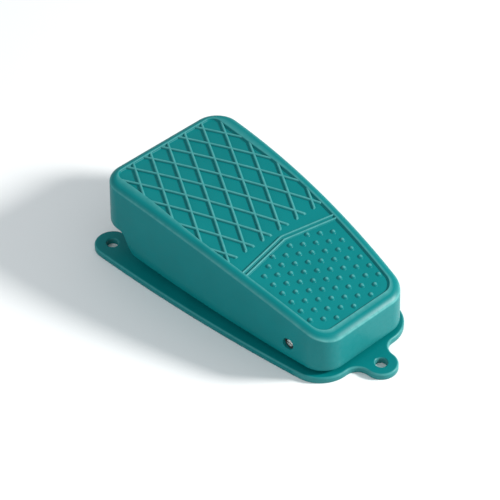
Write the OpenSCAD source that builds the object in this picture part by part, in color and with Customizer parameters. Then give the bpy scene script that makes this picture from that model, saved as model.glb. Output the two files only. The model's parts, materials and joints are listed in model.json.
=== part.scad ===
// Cast foot switch: a wedge-shaped pedal hinged near its heel end over a low cast base.
// The toe end points along +Y, the base rests on z = 0, and the hinge axis lies along X.

/* [Overall] */
// Length from the tip of the heel ear to the tips of the toe ears
overall_l = 191.7; // [175:0.1:215]
// Angle that the pedal turns through when it is pressed, in degrees
press_a = 2.8; // [1.5:0.1:3]

/* [Pedal casting] */
// How far the toe ears reach past the pedal
toe_reach = 3.6; // [2:0.1:6]
// How far the heel ear reaches past the pedal
heel_reach = 20.1; // [18:0.1:24]
// Width of the pedal at its toe end
toe_w = 92.6; // [86:0.1:98]
// Width of the pedal at its heel end
heel_w = 64.6; // [60:0.1:70]
// How far each long side bows outwards
side_bow = 3.1; // [1:0.1:5]
// Corner radius at the toe end, seen from above
toe_corner_r = 14.5; // [10:0.1:18]
// Corner radius at the heel end, seen from above
heel_corner_r = 13.9; // [10:0.1:18]
// Height of the tread's toe edge
toe_h = 51.5; // [49:0.1:56]
// Height of the tread's heel edge
heel_h = 28.8; // [28:0.1:32]
// Rise of the tread's arch over the straight line from heel to toe
crown = 6.4; // [5:0.1:8]
// Rounding between the tread and the skirt
edge_r = 3.6; // [2:0.1:5]
// How far the skirt leans in over its height
skirt_draft = 1.7; // [0.5:0.1:2.5]
// Thickness of the skirt
pedal_wall = 3; // [2.5:0.1:3.5]
// Thickness of the roof under the tread
pedal_roof = 3; // [2.5:0.1:4]
// Height of the skirt's lower edge at the heel
skirt_heel_z = 6.7; // [6:0.1:8]
// Height that the skirt's lower edge would reach at the toe
skirt_toe_z = 10.8; // [10.5:0.1:13]
// Height of the raised stretch of the skirt round the toe
toe_cut_z = 22; // [21.5:0.1:24]
// Length of the raised stretch of the skirt, from the toe end
toe_cut_l = 18; // [14:0.1:22]
// Length of the curve that leads up to the raised stretch
toe_cut_rise_l = 11; // [8:0.1:14]

/* [Tread] */
// Border between the skirt and the sunk tread panel, at the sides
rim_w = 7; // [6:0.1:10]
// Border between the skirt and the sunk tread panel, at the toe and heel
rim_end_w = 7.6; // [6.5:0.1:10]
// Depth of the sunk tread panel
panel_d = 1.2; // [0.8:0.1:1.6]
// Width of a raised diamond rib
rib_w = 1.5; // [1:0.1:2]
// Height of a raised diamond rib
rib_h = 0.9; // [0.6:0.1:1.2]
// Distance from rib to rib, square to the ribs
rib_pitch = 11.3; // [9:0.1:14]
// Angle of the ribs from the pedal's length, in degrees
rib_a = 29; // [25:1:35]
// Diameter of a tread dome
dome_d = 3; // [2:0.1:3.6]
// Height of a tread dome
dome_h = 0.9; // [0.5:0.1:1.2]
// Distance from dome to dome along a column
dome_pitch = 7.05; // [6.5:0.05:9]
// Distance from column to column of domes
dome_row = 6.5; // [6:0.1:8]
// Distance from the toe end to the peak of the chevron between the two tread zones
chevron_y = 101.6; // [94:0.1:106]
// Slope of the chevron's two arms, in degrees
chevron_a = 10; // [8:1:18]
// Width of each raised line of the chevron
chevron_w = 1.2; // [0.8:0.1:1.6]
// Gap between the two lines of the chevron
chevron_gap = 1.4; // [1:0.1:2]

/* [Base casting] */
// Thickness of the base flange and its ears
base_t = 4; // [3.5:0.1:4.5]
// Thickness of the floor inside the base
floor_t = 3; // [2.5:0.1:3.4]
// Flange beyond the pedal at the toe end of each side
flange_toe_w = 6.6; // [5:0.1:8]
// Flange beyond the pedal at the heel end of each side
flange_heel_w = 2.9; // [2:0.1:4]
// Flange beyond the pedal's heel end
flange_end_w = 2.3; // [1.8:0.1:3]
// Corner radius of the flange at the heel
flange_corner_r = 18; // [15:0.1:22]
// Radius of the heel ear
heel_ear_r = 9.5; // [8.5:0.1:10.5]
// Radius of the toe ears
toe_ear_r = 10.3; // [9:0.1:11]
// Blend radius between the heel ear and the flange
ear_blend_r = 8; // [6:0.1:12]
// Diameter of the fixing holes
fix_hole_d = 7; // [6:0.1:8]
// Height of the wall that stands inside the pedal's skirt
wall_h = 20; // [19:0.1:21]
// Thickness of that wall
wall_t = 2.5; // [2:0.1:3]
// Clearance between the pedal's skirt and that wall
wall_gap = 1.5; // [1:0.1:2]
// Distance from the toe ears' tips back to the wall with the cable gland
toe_wall_back = 24.8; // [23:0.1:28]

/* [Hinge] */
// Distance from the pedal's heel end to the hinge pin
hinge_back = 24.9; // [22:0.1:28]
// Height of the hinge pin
hinge_z = 16.5; // [15.5:0.1:17]
// Diameter of the hinge pin
pin_d = 5; // [4:0.1:5.5]
// Outer diameter of the hinge bushes
bush_d = 7; // [6.5:0.1:8]
// Diameter of the bushes' flanges
bush_flange_d = 10; // [9:0.1:11]
// Thickness of the bushes' flanges
bush_flange_t = 1; // [0.8:0.1:1.2]
// Running clearance round the pin and the plunger
run_fit = 0.05; // [0.02:0.01:0.1]

/* [Return spring] */
// Distance from the toe wall back to the return spring's middle
spring_back = 25.9; // [24:0.1:27.5]
// Outer diameter of the return spring
spring_d = 18; // [16:0.1:20]
// Wire diameter of the return spring
wire_d = 1.8; // [1.2:0.1:2]
// Number of turns of the return spring
spring_turns = 8; // [6:1:9]

/* [Micro switch] */
// Distance from the hinge pin to the switch case
switch_back = 20; // [18:0.1:22]
// Length of the switch case
switch_l = 49.2; // [48:0.1:51]
// Width of the switch case with its cover
switch_w = 17.4; // [16:0.1:19]
// Height of the switch case
switch_h = 17.5; // [17:0.1:18]
// Height of the switch case's underside above the floor
switch_lift = 6.5; // [6.2:0.1:7]
// Wall thickness of the switch case
switch_wall = 1.8; // [1.5:0.1:2.2]
// Spacing of the two holes through the switch case
switch_hole_pitch = 25.4; // [24:0.1:27]
// Diameter of the screws through the switch case
switch_screw_d = 4; // [3:0.1:4.2]
// Diameter of the switch plunger
plunger_d = 4; // [3:0.1:4.4]
// Distance from the lever's pin to the plunger
plunger_reach = 14; // [13:0.1:15]
// Distance from the lever's pin to the point where the pedal's screw presses
lever_reach = 34; // [32:0.1:35]
// Thickness of the lever
lever_t = 0.8; // [0.6:0.1:1]
// Width of the lever
lever_w = 8; // [7:0.1:9]

/* [Pedal screw] */
// Thread diameter of the adjusting screw
adjust_d = 5; // [4:0.1:5.5]
// Size across the flats of the adjusting screw's lock nut
adjust_nut_af = 8; // [7.5:0.1:9]
// Thickness of the adjusting screw's lock nut
adjust_nut_t = 3.2; // [2.5:0.1:3.5]

/* [Cable gland] */
// Thread diameter of the gland
gland_d = 12; // [11:0.1:13]
// Size across the flats of the gland's hexagons
gland_af = 15; // [14.5:0.1:15.4]
// Bore of the gland
gland_bore_d = 7.5; // [6:0.1:8]
// Height of the gland's axis
gland_z = 12; // [11.8:0.1:12.4]

/* [Hidden] */

// Finishes
paint = [0.05, 0.50, 0.49];
steel = [0.74, 0.75, 0.76];
zinc = [0.78, 0.76, 0.66];
brass = [0.78, 0.62, 0.30];
phenolic = [0.10, 0.09, 0.09];
nylon = [0.90, 0.88, 0.80];
rubber = [0.07, 0.07, 0.07];

// Facet counts: round work, small round work and the tread's long arc
fn_round = 64;
fn_small = 32;
fn_arc = 720;

// One overrun serves every cut, and one slip fit every screw and slot
cut = 1;
slip = 0.1;
touch_gap = 0.15;

// Pedal, seen from above
toe_y = overall_l / 2 - toe_reach;
heel_y = -overall_l / 2 + heel_reach;
pedal_l = toe_y - heel_y;
hinge_y = heel_y + hinge_back;
least_corner_r = 2;
corner_steps = 7;
side_steps = 12;
edge_steps = 4;
trim_steps = 8;

// Tread arc: a circle through the toe edge and the heel edge with the crown between them
chord_l = norm([pedal_l, toe_h - heel_h]);
chord_a = atan2(toe_h - heel_h, pedal_l);
tread_r = (chord_l * chord_l / 4 + crown * crown) / (2 * crown);
tread_cy = (toe_y + heel_y) / 2 + (tread_r - crown) * sin(chord_a);
tread_cz = (toe_h + heel_h) / 2 - (tread_r - crown) * cos(chord_a);
roof_d = panel_d + pedal_roof;

// Tread panel and its two zones
panel_corner_r = 6;
chevron_tip_y = toe_y - chevron_y;
zone_gap = chevron_w + chevron_gap / 2;
dome_start = 6;
dome_sphere_r = (dome_d * dome_d / 4 + dome_h * dome_h) / (2 * dome_h);
rib_start = 10.5;
rib_end = 5;

// Hinge, from the middle outwards
skirt_hinge_x = skirt_hw(hinge_y, hinge_z);
bush_boss_t = 1.2;
bush_gap = 0.3;
bush_face_x = skirt_hinge_x - pedal_wall - bush_boss_t;
lug_face_x = bush_face_x - bush_flange_t - bush_gap;
lug_t = 6;
lug_in_x = lug_face_x - lug_t;
lug_wall = 3.6;
lug_r = pin_d / 2 + lug_wall;
lug_clear = 3;
flange_clear = 1;
bush_sink = 0.9;
pin_sink = 0.7;
pin_slot_w = 0.9;
pin_slot_d = 1;
pin_bevel = 0.5;
groove_d = 4;
clip_t = 0.8;
clip_d = 9;

// Base walls and posts
base_heel_y = heel_y - flange_end_w;
toe_ear_y = overall_l / 2 - toe_ear_r;
heel_ear_y = -overall_l / 2 + heel_ear_r;
toe_wall_y = overall_l / 2 - toe_wall_back;
wall_in = pedal_wall + wall_gap;
recess_blend_r = 5;
arc_skip = 2;
toe_ledge = 1.5;
stop_y = toe_wall_y - spring_back;
stop_w = 4;
stop_deep = 6;
stop_clear = 0.25;
rest_l = 5;
rest_y = heel_y + wall_in + wall_t + wall_gap + rest_l / 2;
rest_w = 14;
rest_z = 14;

// Return spring
spring_y = toe_wall_y - spring_back;
spring_r = (spring_d - wire_d) / 2;
spring_seat_gap = 0.3;
spring_z0 = floor_t + spring_seat_gap;
spring_z1 = top_z(spring_y - spring_d / 2) - roof_d - spring_seat_gap;
spring_slack = 1;
spring_guide_d = spring_d - 2 * wire_d - 2 * spring_slack;
spring_guide_h = 10;
spring_pocket_d = spring_d + spring_slack;
spring_pocket_h = 6;
spring_pocket_t = 2.5;
spring_sides = 6;
spring_rings = 8;
spring_flat_turns = 1;
spring_end_gap = 0.5;
spring_end_pitch = wire_d + spring_end_gap;

// Micro switch
switch_y0 = hinge_y + switch_back;
switch_y1 = switch_y0 + switch_l;
switch_z0 = floor_t + switch_lift;
switch_z1 = switch_z0 + switch_h;
cover_t = 1.5;
case_x0 = -switch_w / 2 + cover_t;
case_x1 = switch_w / 2;
case_floor = 4;
case_roof = 2.5;
hole_lift = 5.5;
hole_boss_d = 7.4;
hole_ys = [for (side = [-1, 1]) (switch_y0 + switch_y1) / 2 + side * switch_hole_pitch / 2];
hole_z = switch_z0 + hole_lift;

// Lever on the switch, and the point that the pedal's screw presses
lever_pin_d = 2;
lever_pin_in = 4;
lever_pin_y = switch_y0 + lever_pin_in;
knuckle_d = 4.4;
lever_ear_t = 1.8;
lever_ear_l = 6;
lever_gap = 0.3;
plunger_y = lever_pin_y + plunger_reach;
press_y = lever_pin_y + lever_reach;
lever_tail = 3;
lever_ratio = (press_y - hinge_y) / lever_reach;
lever_drop = (lever_reach + lever_tail) * tan(press_a * lever_ratio);
lever_z = switch_z1 + lever_drop + lever_gap + lever_t / 2;
plunger_travel = plunger_reach * tan(press_a * lever_ratio);
plunger_tip_share = 1.25;
plunger_top_z = lever_z - lever_t / 2 - touch_gap;

// Contacts inside the switch
contact_in = 5.4;
contact_y = switch_y1 - contact_in;
contact_d = 3.4;
contact_t = 0.9;
blade_t = 0.4;
blade_w = 5;
blade_in = 5;
blade_y = switch_y0 + blade_in;
blade_h = 11;
blade_z = switch_z0 + blade_h;
contact_travel = 1.2;
blade_a = atan2(contact_travel, contact_y - blade_y);
blade_drop = (plunger_y - blade_y) * tan(blade_a);
plunger_foot_z = blade_z + blade_t / 2 + plunger_travel - blade_drop + touch_gap;
plunger_flange_d = 6;
plunger_flange_t = 1;
tab_t = 1;
tab_w = 6;
tab_l = 7;
post_t = 1.2;
post_w = 2;
arm_w = 3;
tab_x = 4.2;
open_post_x = -tab_x + 2 * slip;
terminal_screw_d = 2.6;
terminal_head_d = 5;
terminal_head_t = 2;
terminal_hole_z = switch_z0 + case_floor - switch_wall / 2;

// Bracket
bracket_t = 1.5;
bracket_x0 = case_x1 + slip;
bracket_foot_l = 17;
bracket_pad_h = 2;
bracket_z0 = floor_t + bracket_pad_h;
bracket_over = 4.5;
bracket_up = hole_z + bracket_over;
bracket_in = 5;
bracket_pad_d = 10;
bracket_screw_d = 4;
bracket_screw_out = 10.5;
bracket_screw_x = bracket_x0 + bracket_screw_out;
bracket_head_d = 7.4;
bracket_head_t = 2.6;
nut_t = 3;
nut_af = 7;

// Pedal screw
adjust_tip_z = lever_z + lever_t / 2 + touch_gap;
adjust_tip_l = 3;
adjust_nut_z = adjust_tip_z + adjust_tip_l;
adjust_boss_z = adjust_nut_z + adjust_nut_t + slip;
adjust_boss_d = 12;
adjust_boss_top_z = top_z(press_y) - roof_d;

// Gland
gland_hex_t = 4.5;
gland_cap_l = 9.5;
gland_thread_l = 5.5;
gland_nut_t = 3.5;
gland_tail = 1;
gland_seal_l = 2.6;
gland_y0 = toe_wall_y - wall_t - gland_nut_t - gland_tail;
gland_y1 = toe_wall_y + gland_hex_t + gland_thread_l;
gland_cap_share = 2.02;

// Earth screw
earth_x = -24;
earth_back = 13;
earth_y = toe_wall_y - earth_back;
earth_boss_d = 10;
earth_boss_h = 4;
earth_screw_d = 4;
earth_head_d = 7.6;
earth_head_t = 2.6;
earth_washer_d = 9;
earth_washer_t = 0.8;
blind_floor = 1.2;

// Heads of slotted screws: height of the side, width of the top, and depth and width of the slot
head_side_share = 0.55;
head_top_share = 0.7;
slot_share = 0.5;
slot_w_share = 0.17;

// Height of the tread's surface at a place along the pedal
function top_z(y) = tread_cz + sqrt(tread_r * tread_r - (y - tread_cy) * (y - tread_cy));

// Share of the full bow at a place along a side: none at its ends and all in its middle
function bow_share(y, y0, y1) = let (s = max(0, min(1, (y - y0) / (y1 - y0)))) 4 * s * (1 - s);

// Half width of the pedal's skirt at a place along it and a height
function skirt_hw(y, z) =
    let (s = (y - heel_y) / pedal_l, rise = (z - skirt_heel_z) / (top_z(y) - edge_r - skirt_heel_z))
    heel_w / 2 + (toe_w - heel_w) / 2 * s + side_bow * bow_share(y, heel_y, toe_y) - skirt_draft * rise;

// Points along an arc
function arc(c, r, a0, a1, n) = [for (i = [0:n]) let (a = a0 + (a1 - a0) * i / n) c + r * [cos(a), sin(a)]];

// A half outline swells outwards along its side
function bowed(points, y0, y1, w0, bow) =
    [for (p = points) [p[0] + bow * bow_share(p[1], y0, y1) * min(1, 2 * p[0] / w0), p[1]]];

// A half outline with its mirror image closes a loop
function closed(half) =
    let (n = len(half)) concat(half, [for (i = [n - 1:-1:0]) [-half[i][0], half[i][1]]]);

// Outline of the pedal and of what follows it, set in by d all round and by end_d more at both ends
function pedal_plan(d, y0 = heel_y, y1 = toe_y, r_least = least_corner_r, end_d = 0) =
    let (run = atan2(pedal_l, (toe_w - heel_w) / 2),
         a0 = y0 + d + end_d,
         a1 = y1 - d - end_d,
         w_at0 = heel_w / 2 + (a0 - heel_y) / tan(run) - d / sin(run),
         w_at1 = heel_w / 2 + (a1 - heel_y) / tan(run) - d / sin(run),
         r0 = max(heel_corner_r - d, r_least),
         r1 = max(toe_corner_r - d, r_least),
         c0 = [w_at0 - r0 * tan(run / 2), a0 + r0],
         c1 = [w_at1 - r1 * tan(90 - run / 2), a1 - r1],
         out = [cos(run - 90), sin(run - 90)],
         s0 = c0 + r0 * out,
         s1 = c1 + r1 * out,
         side = [for (i = [1:side_steps - 1]) s0 + (s1 - s0) * i / side_steps],
         half = concat(arc(c0, r0, -90, run - 90, corner_steps), side,
                       arc(c1, r1, run - 90, 90, corner_steps)))
    closed(bowed(half, heel_y, toe_y, heel_w / 2, side_bow));

// Outline of the base flange with its three ears, set in by d all round
function base_plan(d) =
    let (w0 = heel_w / 2 + flange_heel_w,
         ear_x = toe_ear_x(),
         run = base_run(),
         v0 = w0 - d / sin(run) + d / tan(run),
         r0 = flange_corner_r - d,
         y0 = base_heel_y + d,
         blend = ear_blend_r + d,
         blend_y = y0 - blend,
         blend_x = sqrt(pow(heel_ear_r - d + blend, 2) - pow(blend_y - heel_ear_y, 2)),
         tilt = atan2(blend_y - heel_ear_y, blend_x),
         c0 = [v0 - r0 * tan(run / 2), y0 + r0],
         out = [cos(run - 90), sin(run - 90)],
         s0 = c0 + r0 * out,
         ear = [ear_x, toe_ear_y],
         s1 = ear + (toe_ear_r - d) * out,
         inner = [ear_x - toe_ear_r - recess_blend_r, toe_wall_y + toe_ledge + recess_blend_r],
         side = [for (i = [1:side_steps - 1]) s0 + (s1 - s0) * i / side_steps],
         half = concat(arc([0, heel_ear_y], heel_ear_r - d, arc_skip - 90, tilt, 2 * corner_steps),
                       arc([blend_x, blend_y], blend, 180 - arc_skip + tilt, 90, corner_steps),
                       arc(c0, r0, -90, run - 90, corner_steps), side,
                       arc(ear, toe_ear_r - d, run - 90, 180, 2 * corner_steps),
                       arc(inner, recess_blend_r + d, 0, -90, corner_steps)))
    closed(bowed(half, base_heel_y, toe_ear_y, w0, side_bow));

// The toe ears' centres lie where their rims run into the flange's sides
function toe_ear_x() = toe_w / 2 + flange_toe_w - toe_ear_r;
function base_run() =
    let (w0 = heel_w / 2 + flange_heel_w, w1 = toe_ear_x() + toe_ear_r)
    atan2(toe_ear_y - base_heel_y, w1 - w0);

// Faces of a skin over k loops of m points each
function skin_faces(m, k) =
    [for (j = [0:k - 2]) for (i = [0:m - 1]) let (a = j * m + i, b = j * m + (i + 1) % m)
        each [[a, a + m, b + m], [a, b + m, b]]];

// Ends of a skin, closed by strips from side to side
function skin_ends(m, k) = let (t = (k - 1) * m)
    [for (i = [0:m / 2 - 2]) let (j = m - 1 - i)
        each [[i, i + 1, j - 1], [i, j - 1, j], [t + i, t + j, t + j - 1], [t + i, t + j - 1, t + i + 1]]];

module skin(loops) {
    m = len(loops[0]);
    k = len(loops);
    polyhedron(points = [for (loop = loops) for (p = loop) p],
               faces = concat(skin_faces(m, k), skin_ends(m, k)), convexity = 6);
}

// A loop at one height, and a loop that follows the tread at a depth below it
function level(points, z) = [for (p = points) [p[0], p[1], z]];
function under_tread(points, depth) = [for (p = points) [p[0], p[1], top_z(p[1]) - depth]];

// Everything nearer to the tread's centre of curvature than the tread itself, less a depth
module below_tread(depth) {
    translate([0, tread_cy, tread_cz]) rotate([0, 90, 0])
        cylinder(r = tread_r - depth, h = 2 * toe_w, center = true, $fn = fn_arc);
}

// Round bars along each direction, and hexagons
module bar_x(d, x0, x1, fn = fn_round)
    translate([x0, 0, 0]) rotate([0, 90, 0]) cylinder(d = d, h = x1 - x0, $fn = fn);
module bar_y(d, y0, y1, fn = fn_round)
    translate([0, y0, 0]) rotate([-90, 0, 0]) cylinder(d = d, h = y1 - y0, $fn = fn);
module bar_z(d, z0, z1, fn = fn_round) translate([0, 0, z0]) cylinder(d = d, h = z1 - z0, $fn = fn);
module hex_z(af, z0, z1) translate([0, 0, z0]) cylinder(d = af / cos(30), h = z1 - z0, $fn = 6);

// A block from its lowest to its highest corner
module block(low, high) translate(low) cube(high - low);

// Slotted screw whose head stands on z = 0 with its shank below
module slotted_screw(d, l, head_d, head_t) {
    side_h = head_t * head_side_share;
    slot_w = head_d * slot_w_share;
    difference() {
        union() {
            bar_z(head_d, 0, side_h, fn_small);
            translate([0, 0, side_h])
                cylinder(d1 = head_d, d2 = head_d * head_top_share, h = head_t - side_h, $fn = fn_small);
            bar_z(d, -l, 0, fn_small);
        }
        block([-head_d, -slot_w / 2, head_t * slot_share], [head_d, slot_w / 2, head_t + cut]);
    }
}

// The pedal's outside before its skirt is trimmed
module pedal_outside() {
    round_over = [for (k = [0:edge_steps]) let (a = 90 * k / edge_steps)
        under_tread(pedal_plan(skirt_draft + edge_r * (1 - cos(a))), edge_r * (1 - sin(a)))];
    skin(concat([level(pedal_plan(0), skirt_heel_z - cut)], round_over));
}

module pedal_inside() {
    skin([level(pedal_plan(pedal_wall), skirt_heel_z - 2 * cut),
          under_tread(pedal_plan(pedal_wall + skirt_draft), roof_d)]);
}

// What the skirt's lower edge leaves away: a long slope, then a smooth step up round the toe
module skirt_trim() {
    far = pedal_l;
    y1 = toe_y - toe_cut_l;
    y0 = y1 - toe_cut_rise_l;
    z0 = skirt_heel_z + (skirt_toe_z - skirt_heel_z) * (y0 - heel_y) / pedal_l;
    slope = (skirt_toe_z - skirt_heel_z) / pedal_l;
    rise = [for (i = [0:trim_steps]) let (s = i / trim_steps)
        [y0 + (y1 - y0) * s, z0 + (toe_cut_z - z0) * (1 - cos(180 * s)) / 2]];
    edge = concat([[heel_y - cut, skirt_heel_z - slope * cut]], rise, [[toe_y + cut, toe_cut_z]]);
    rotate([90, 0, 90]) translate([0, 0, -far / 2]) linear_extrude(far)
        polygon(concat(edge, [[toe_y + cut, -far], [heel_y - cut, -far]]));
}

// Bosses under the roof: the adjusting screw's boss, the spring's pocket, the stops and the rest
module pedal_bosses() {
    deep = top_z(stop_y);
    stop_face_y = stop_y + stop_w / 2;
    stop_low_z = hinge_z
        + (wall_h + stop_clear - hinge_z + (stop_face_y - hinge_y) * sin(press_a)) / cos(press_a);
    stop_x = skirt_hw(stop_y, stop_low_z) - pedal_wall;
    translate([0, press_y, 0]) bar_z(adjust_boss_d, adjust_boss_z, deep);
    translate([0, spring_y, 0]) difference() {
        bar_z(spring_pocket_d + 2 * spring_pocket_t, spring_z1 - spring_pocket_h, deep);
        bar_z(spring_pocket_d, spring_z1 - spring_pocket_h - cut, spring_z1 + spring_seat_gap);
    }
    for (side = [-1, 1]) scale([side, 1, 1])
        block([stop_x - stop_deep, stop_y - stop_w / 2, stop_low_z],
              [stop_x + pedal_wall / 3, stop_face_y, deep]);
    block([-rest_w / 2, rest_y - rest_l / 2, rest_z + touch_gap], [rest_w / 2, rest_y + rest_l / 2, deep]);
}

// Outline of the sunk panel
module panel_shape() polygon(pedal_plan(rim_w, r_least = panel_corner_r, end_d = rim_end_w - rim_w));

// Area on the toe side of the chevron, moved along the pedal
module toe_side(shift) {
    far = toe_w;
    polygon([[-far, chevron_tip_y + shift - far * tan(chevron_a)], [0, chevron_tip_y + shift],
             [far, chevron_tip_y + shift - far * tan(chevron_a)], [far, 2 * far], [-far, 2 * far]]);
}

// Diamonds between the ribs, in rows that are offset by half a diamond
module diamonds() {
    across = rib_pitch / cos(rib_a);
    along = rib_pitch / sin(rib_a);
    open_share = (rib_pitch - rib_w) / rib_pitch;
    columns = ceil(toe_w / across);
    rows = ceil(2 * pedal_l / along);
    for (j = [0:rows]) for (i = [-columns:columns]) if ((abs(i) + j) % 2 == 0)
        translate([i * across / 2, chevron_tip_y + rib_start + j * along / 2])
            scale(open_share) polygon([[across / 2, 0], [0, along / 2], [-across / 2, 0], [0, -along / 2]]);
}

// Areas that are sunk to the panel's floor: diamonds, a band below the ribs' ends, the groove in the
// chevron, and the heel zone
module sunk_areas() {
    intersection() {
        panel_shape();
        union() {
            intersection() {
                toe_side(zone_gap);
                union() {
                    diamonds();
                    translate([-toe_w, chevron_tip_y + rib_end - toe_w]) square([2 * toe_w, toe_w]);
                }
            }
            difference() {
                toe_side(-chevron_gap / 2);
                toe_side(chevron_gap / 2);
            }
            difference() {
                panel_shape();
                toe_side(-zone_gap);
            }
        }
    }
}

// Cut the tread down to a depth over an area
module tread_cut(depth) {
    difference() {
        translate([0, 0, heel_h / 2]) linear_extrude(toe_h) children();
        below_tread(depth);
    }
}

// Domes in columns that are offset by half a pitch from column to column
module tread_domes() {
    rows = floor((chevron_tip_y - heel_y) / (dome_pitch / 2));
    across = floor(heel_w / 2 / dome_row);
    for (j = [0:rows]) for (i = [-across:across])
        if ((abs(i) + j) % 2 == 0) {
            x = i * dome_row;
            y = chevron_tip_y - dome_start - j * dome_pitch / 2;
            room = skirt_hw(y, top_z(y) - edge_r) + skirt_draft - rim_w - dome_d / 2;
            below = chevron_tip_y - zone_gap - dome_d / 2 - abs(x) * tan(chevron_a);
            corner = max(0, heel_y + rim_end_w + heel_corner_r / 2 - y);
            if (abs(x) < room - corner && y < below && y > heel_y + rim_end_w + dome_d / 2)
                translate([x, y, top_z(y) - panel_d + dome_h - dome_sphere_r])
                    sphere(r = dome_sphere_r, $fn = fn_small);
        }
}

// The pedal is one casting: an arched roof with its tread, a skirt, and bosses inside
module pedal_casting() {
    color(paint) {
        difference() {
            union() {
                difference() {
                    pedal_outside();
                    pedal_inside();
                }
                intersection() {
                    pedal_bosses();
                    below_tread(panel_d + pedal_roof / 2);
                }
            }
            skirt_trim();
            tread_cut(panel_d - rib_h) panel_shape();
            tread_cut(panel_d) sunk_areas();
            translate([0, hinge_y, hinge_z]) {
                bar_x(bush_d + 2 * run_fit, -skirt_hinge_x - 2 * cut, skirt_hinge_x + 2 * cut);
                bar_x(bush_flange_d + flange_clear, -bush_face_x, bush_face_x);
            }
            translate([0, press_y, 0])
                bar_z(adjust_d + 2 * run_fit, adjust_boss_z - cut, adjust_boss_top_z, fn_small);
        }
        tread_domes();
    }
}

module hinge_bushes() {
    end_x = skirt_hinge_x - bush_sink;
    color(rubber) for (side = [-1, 1]) scale([side, 1, 1]) translate([0, hinge_y, hinge_z]) difference() {
        union() {
            bar_x(bush_d, bush_face_x - bush_flange_t, end_x);
            bar_x(bush_flange_d, bush_face_x - bush_flange_t, bush_face_x - run_fit);
        }
        bar_x(pin_d + 2 * run_fit, bush_face_x - bush_flange_t - cut, end_x + cut);
    }
}

// Grub-ended screw on the pedal that presses the switch's lever
module adjusting_screw() {
    color(zinc) translate([0, press_y, 0]) difference() {
        union() {
            bar_z(adjust_d, adjust_tip_z + adjust_d / 2, adjust_boss_top_z - slip, fn_small);
            translate([0, 0, adjust_tip_z + adjust_d / 2]) sphere(d = adjust_d, $fn = fn_small);
        }
        block([-adjust_d, -adjust_d / 12, adjust_boss_top_z - adjust_d / 3],
              [adjust_d, adjust_d / 12, adjust_boss_top_z + cut]);
    }
}

module adjusting_nut() {
    color(zinc) translate([0, press_y, 0]) difference() {
        hex_z(adjust_nut_af, adjust_nut_z, adjust_nut_z + adjust_nut_t);
        bar_z(adjust_d + 2 * run_fit, adjust_nut_z - cut, adjust_nut_z + adjust_nut_t + cut, fn_small);
    }
}

// Flange of the base with its three ears
module base_flange() {
    linear_extrude(base_t) polygon(base_plan(0));
}

// Flange and floor with the wall that stands inside the pedal's skirt
module base_tray() {
    difference() {
        union() {
            base_flange();
            translate([0, 0, floor_t / 2]) linear_extrude(wall_h - floor_t / 2)
                polygon(pedal_plan(wall_in, y1 = toe_wall_y + wall_in));
        }
        translate([0, 0, floor_t]) linear_extrude(wall_h)
            polygon(pedal_plan(wall_in + wall_t, y1 = toe_wall_y + wall_in));
    }
}

// Lugs inside the walls that hold the hinge pin
module hinge_lugs() {
    for (side = [-1, 1]) scale([side, 1, 1]) {
        translate([0, hinge_y, hinge_z]) bar_x(2 * lug_r, lug_in_x, lug_face_x + slip);
        block([lug_in_x, hinge_y - lug_r, floor_t / 2], [lug_face_x + slip, hinge_y + lug_r, hinge_z]);
    }
}

// Posts and pads on the floor of the base
module base_posts() {
    translate([0, spring_y, 0]) bar_z(spring_guide_d, floor_t / 2, floor_t + spring_guide_h);
    for (y = hole_ys) translate([bracket_screw_x, y, 0]) bar_z(bracket_pad_d, floor_t / 2, bracket_z0);
    translate([earth_x, earth_y, 0]) bar_z(earth_boss_d, floor_t / 2, floor_t + earth_boss_h);
    block([-rest_w / 2, heel_y + wall_in + wall_t / 2, floor_t / 2],
          [rest_w / 2, rest_y + rest_l / 2, rest_z]);
}

module base_casting() {
    color(paint) difference() {
        union() {
            base_tray();
            hinge_lugs();
            base_posts();
        }
        translate([0, heel_ear_y, 0]) bar_z(fix_hole_d, -cut, base_t + cut);
        for (side = [-1, 1]) translate([side * toe_ear_x(), toe_ear_y, 0])
            bar_z(fix_hole_d, -cut, base_t + cut);
        translate([0, hinge_y, hinge_z]) bar_x(pin_d + 2 * run_fit, -skirt_hinge_x, skirt_hinge_x);
        for (side = [-1, 1]) scale([side, 1, 1]) translate([0, hinge_y, hinge_z])
            bar_x(bush_flange_d + lug_clear, lug_face_x, skirt_hinge_x);
        for (y = hole_ys) translate([bracket_screw_x, y, 0])
            bar_z(bracket_screw_d + 2 * run_fit, blind_floor, bracket_z0 + cut, fn_small);
        translate([earth_x, earth_y, 0])
            bar_z(earth_screw_d + 2 * run_fit, blind_floor, floor_t + earth_boss_h + cut, fn_small);
        translate([0, 0, gland_z]) bar_y(gland_d + 2 * slip, toe_wall_y - wall_t - cut, toe_wall_y + cut);
    }
}

// Slotted pin through both lugs, grooved for its two clips
module hinge_pin() {
    end_x = skirt_hinge_x - pin_sink;
    color(steel) translate([0, hinge_y, hinge_z]) difference() {
        union() {
            bar_x(pin_d, -end_x + pin_bevel, end_x - pin_bevel);
            for (side = [-1, 1]) scale([side, 1, 1]) translate([end_x - pin_bevel, 0, 0]) rotate([0, 90, 0])
                cylinder(d1 = pin_d, d2 = pin_d - 2 * pin_bevel, h = pin_bevel, $fn = fn_round);
        }
        for (side = [-1, 1]) scale([side, 1, 1]) {
            block([end_x - pin_slot_d, -pin_d, -pin_slot_w / 2], [end_x + cut, pin_d, pin_slot_w / 2]);
            difference() {
                bar_x(pin_d + cut, lug_in_x - clip_t - 2 * slip, lug_in_x);
                bar_x(groove_d, lug_in_x - clip_t - 2 * slip - cut, lug_in_x + cut);
            }
        }
    }
}

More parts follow.
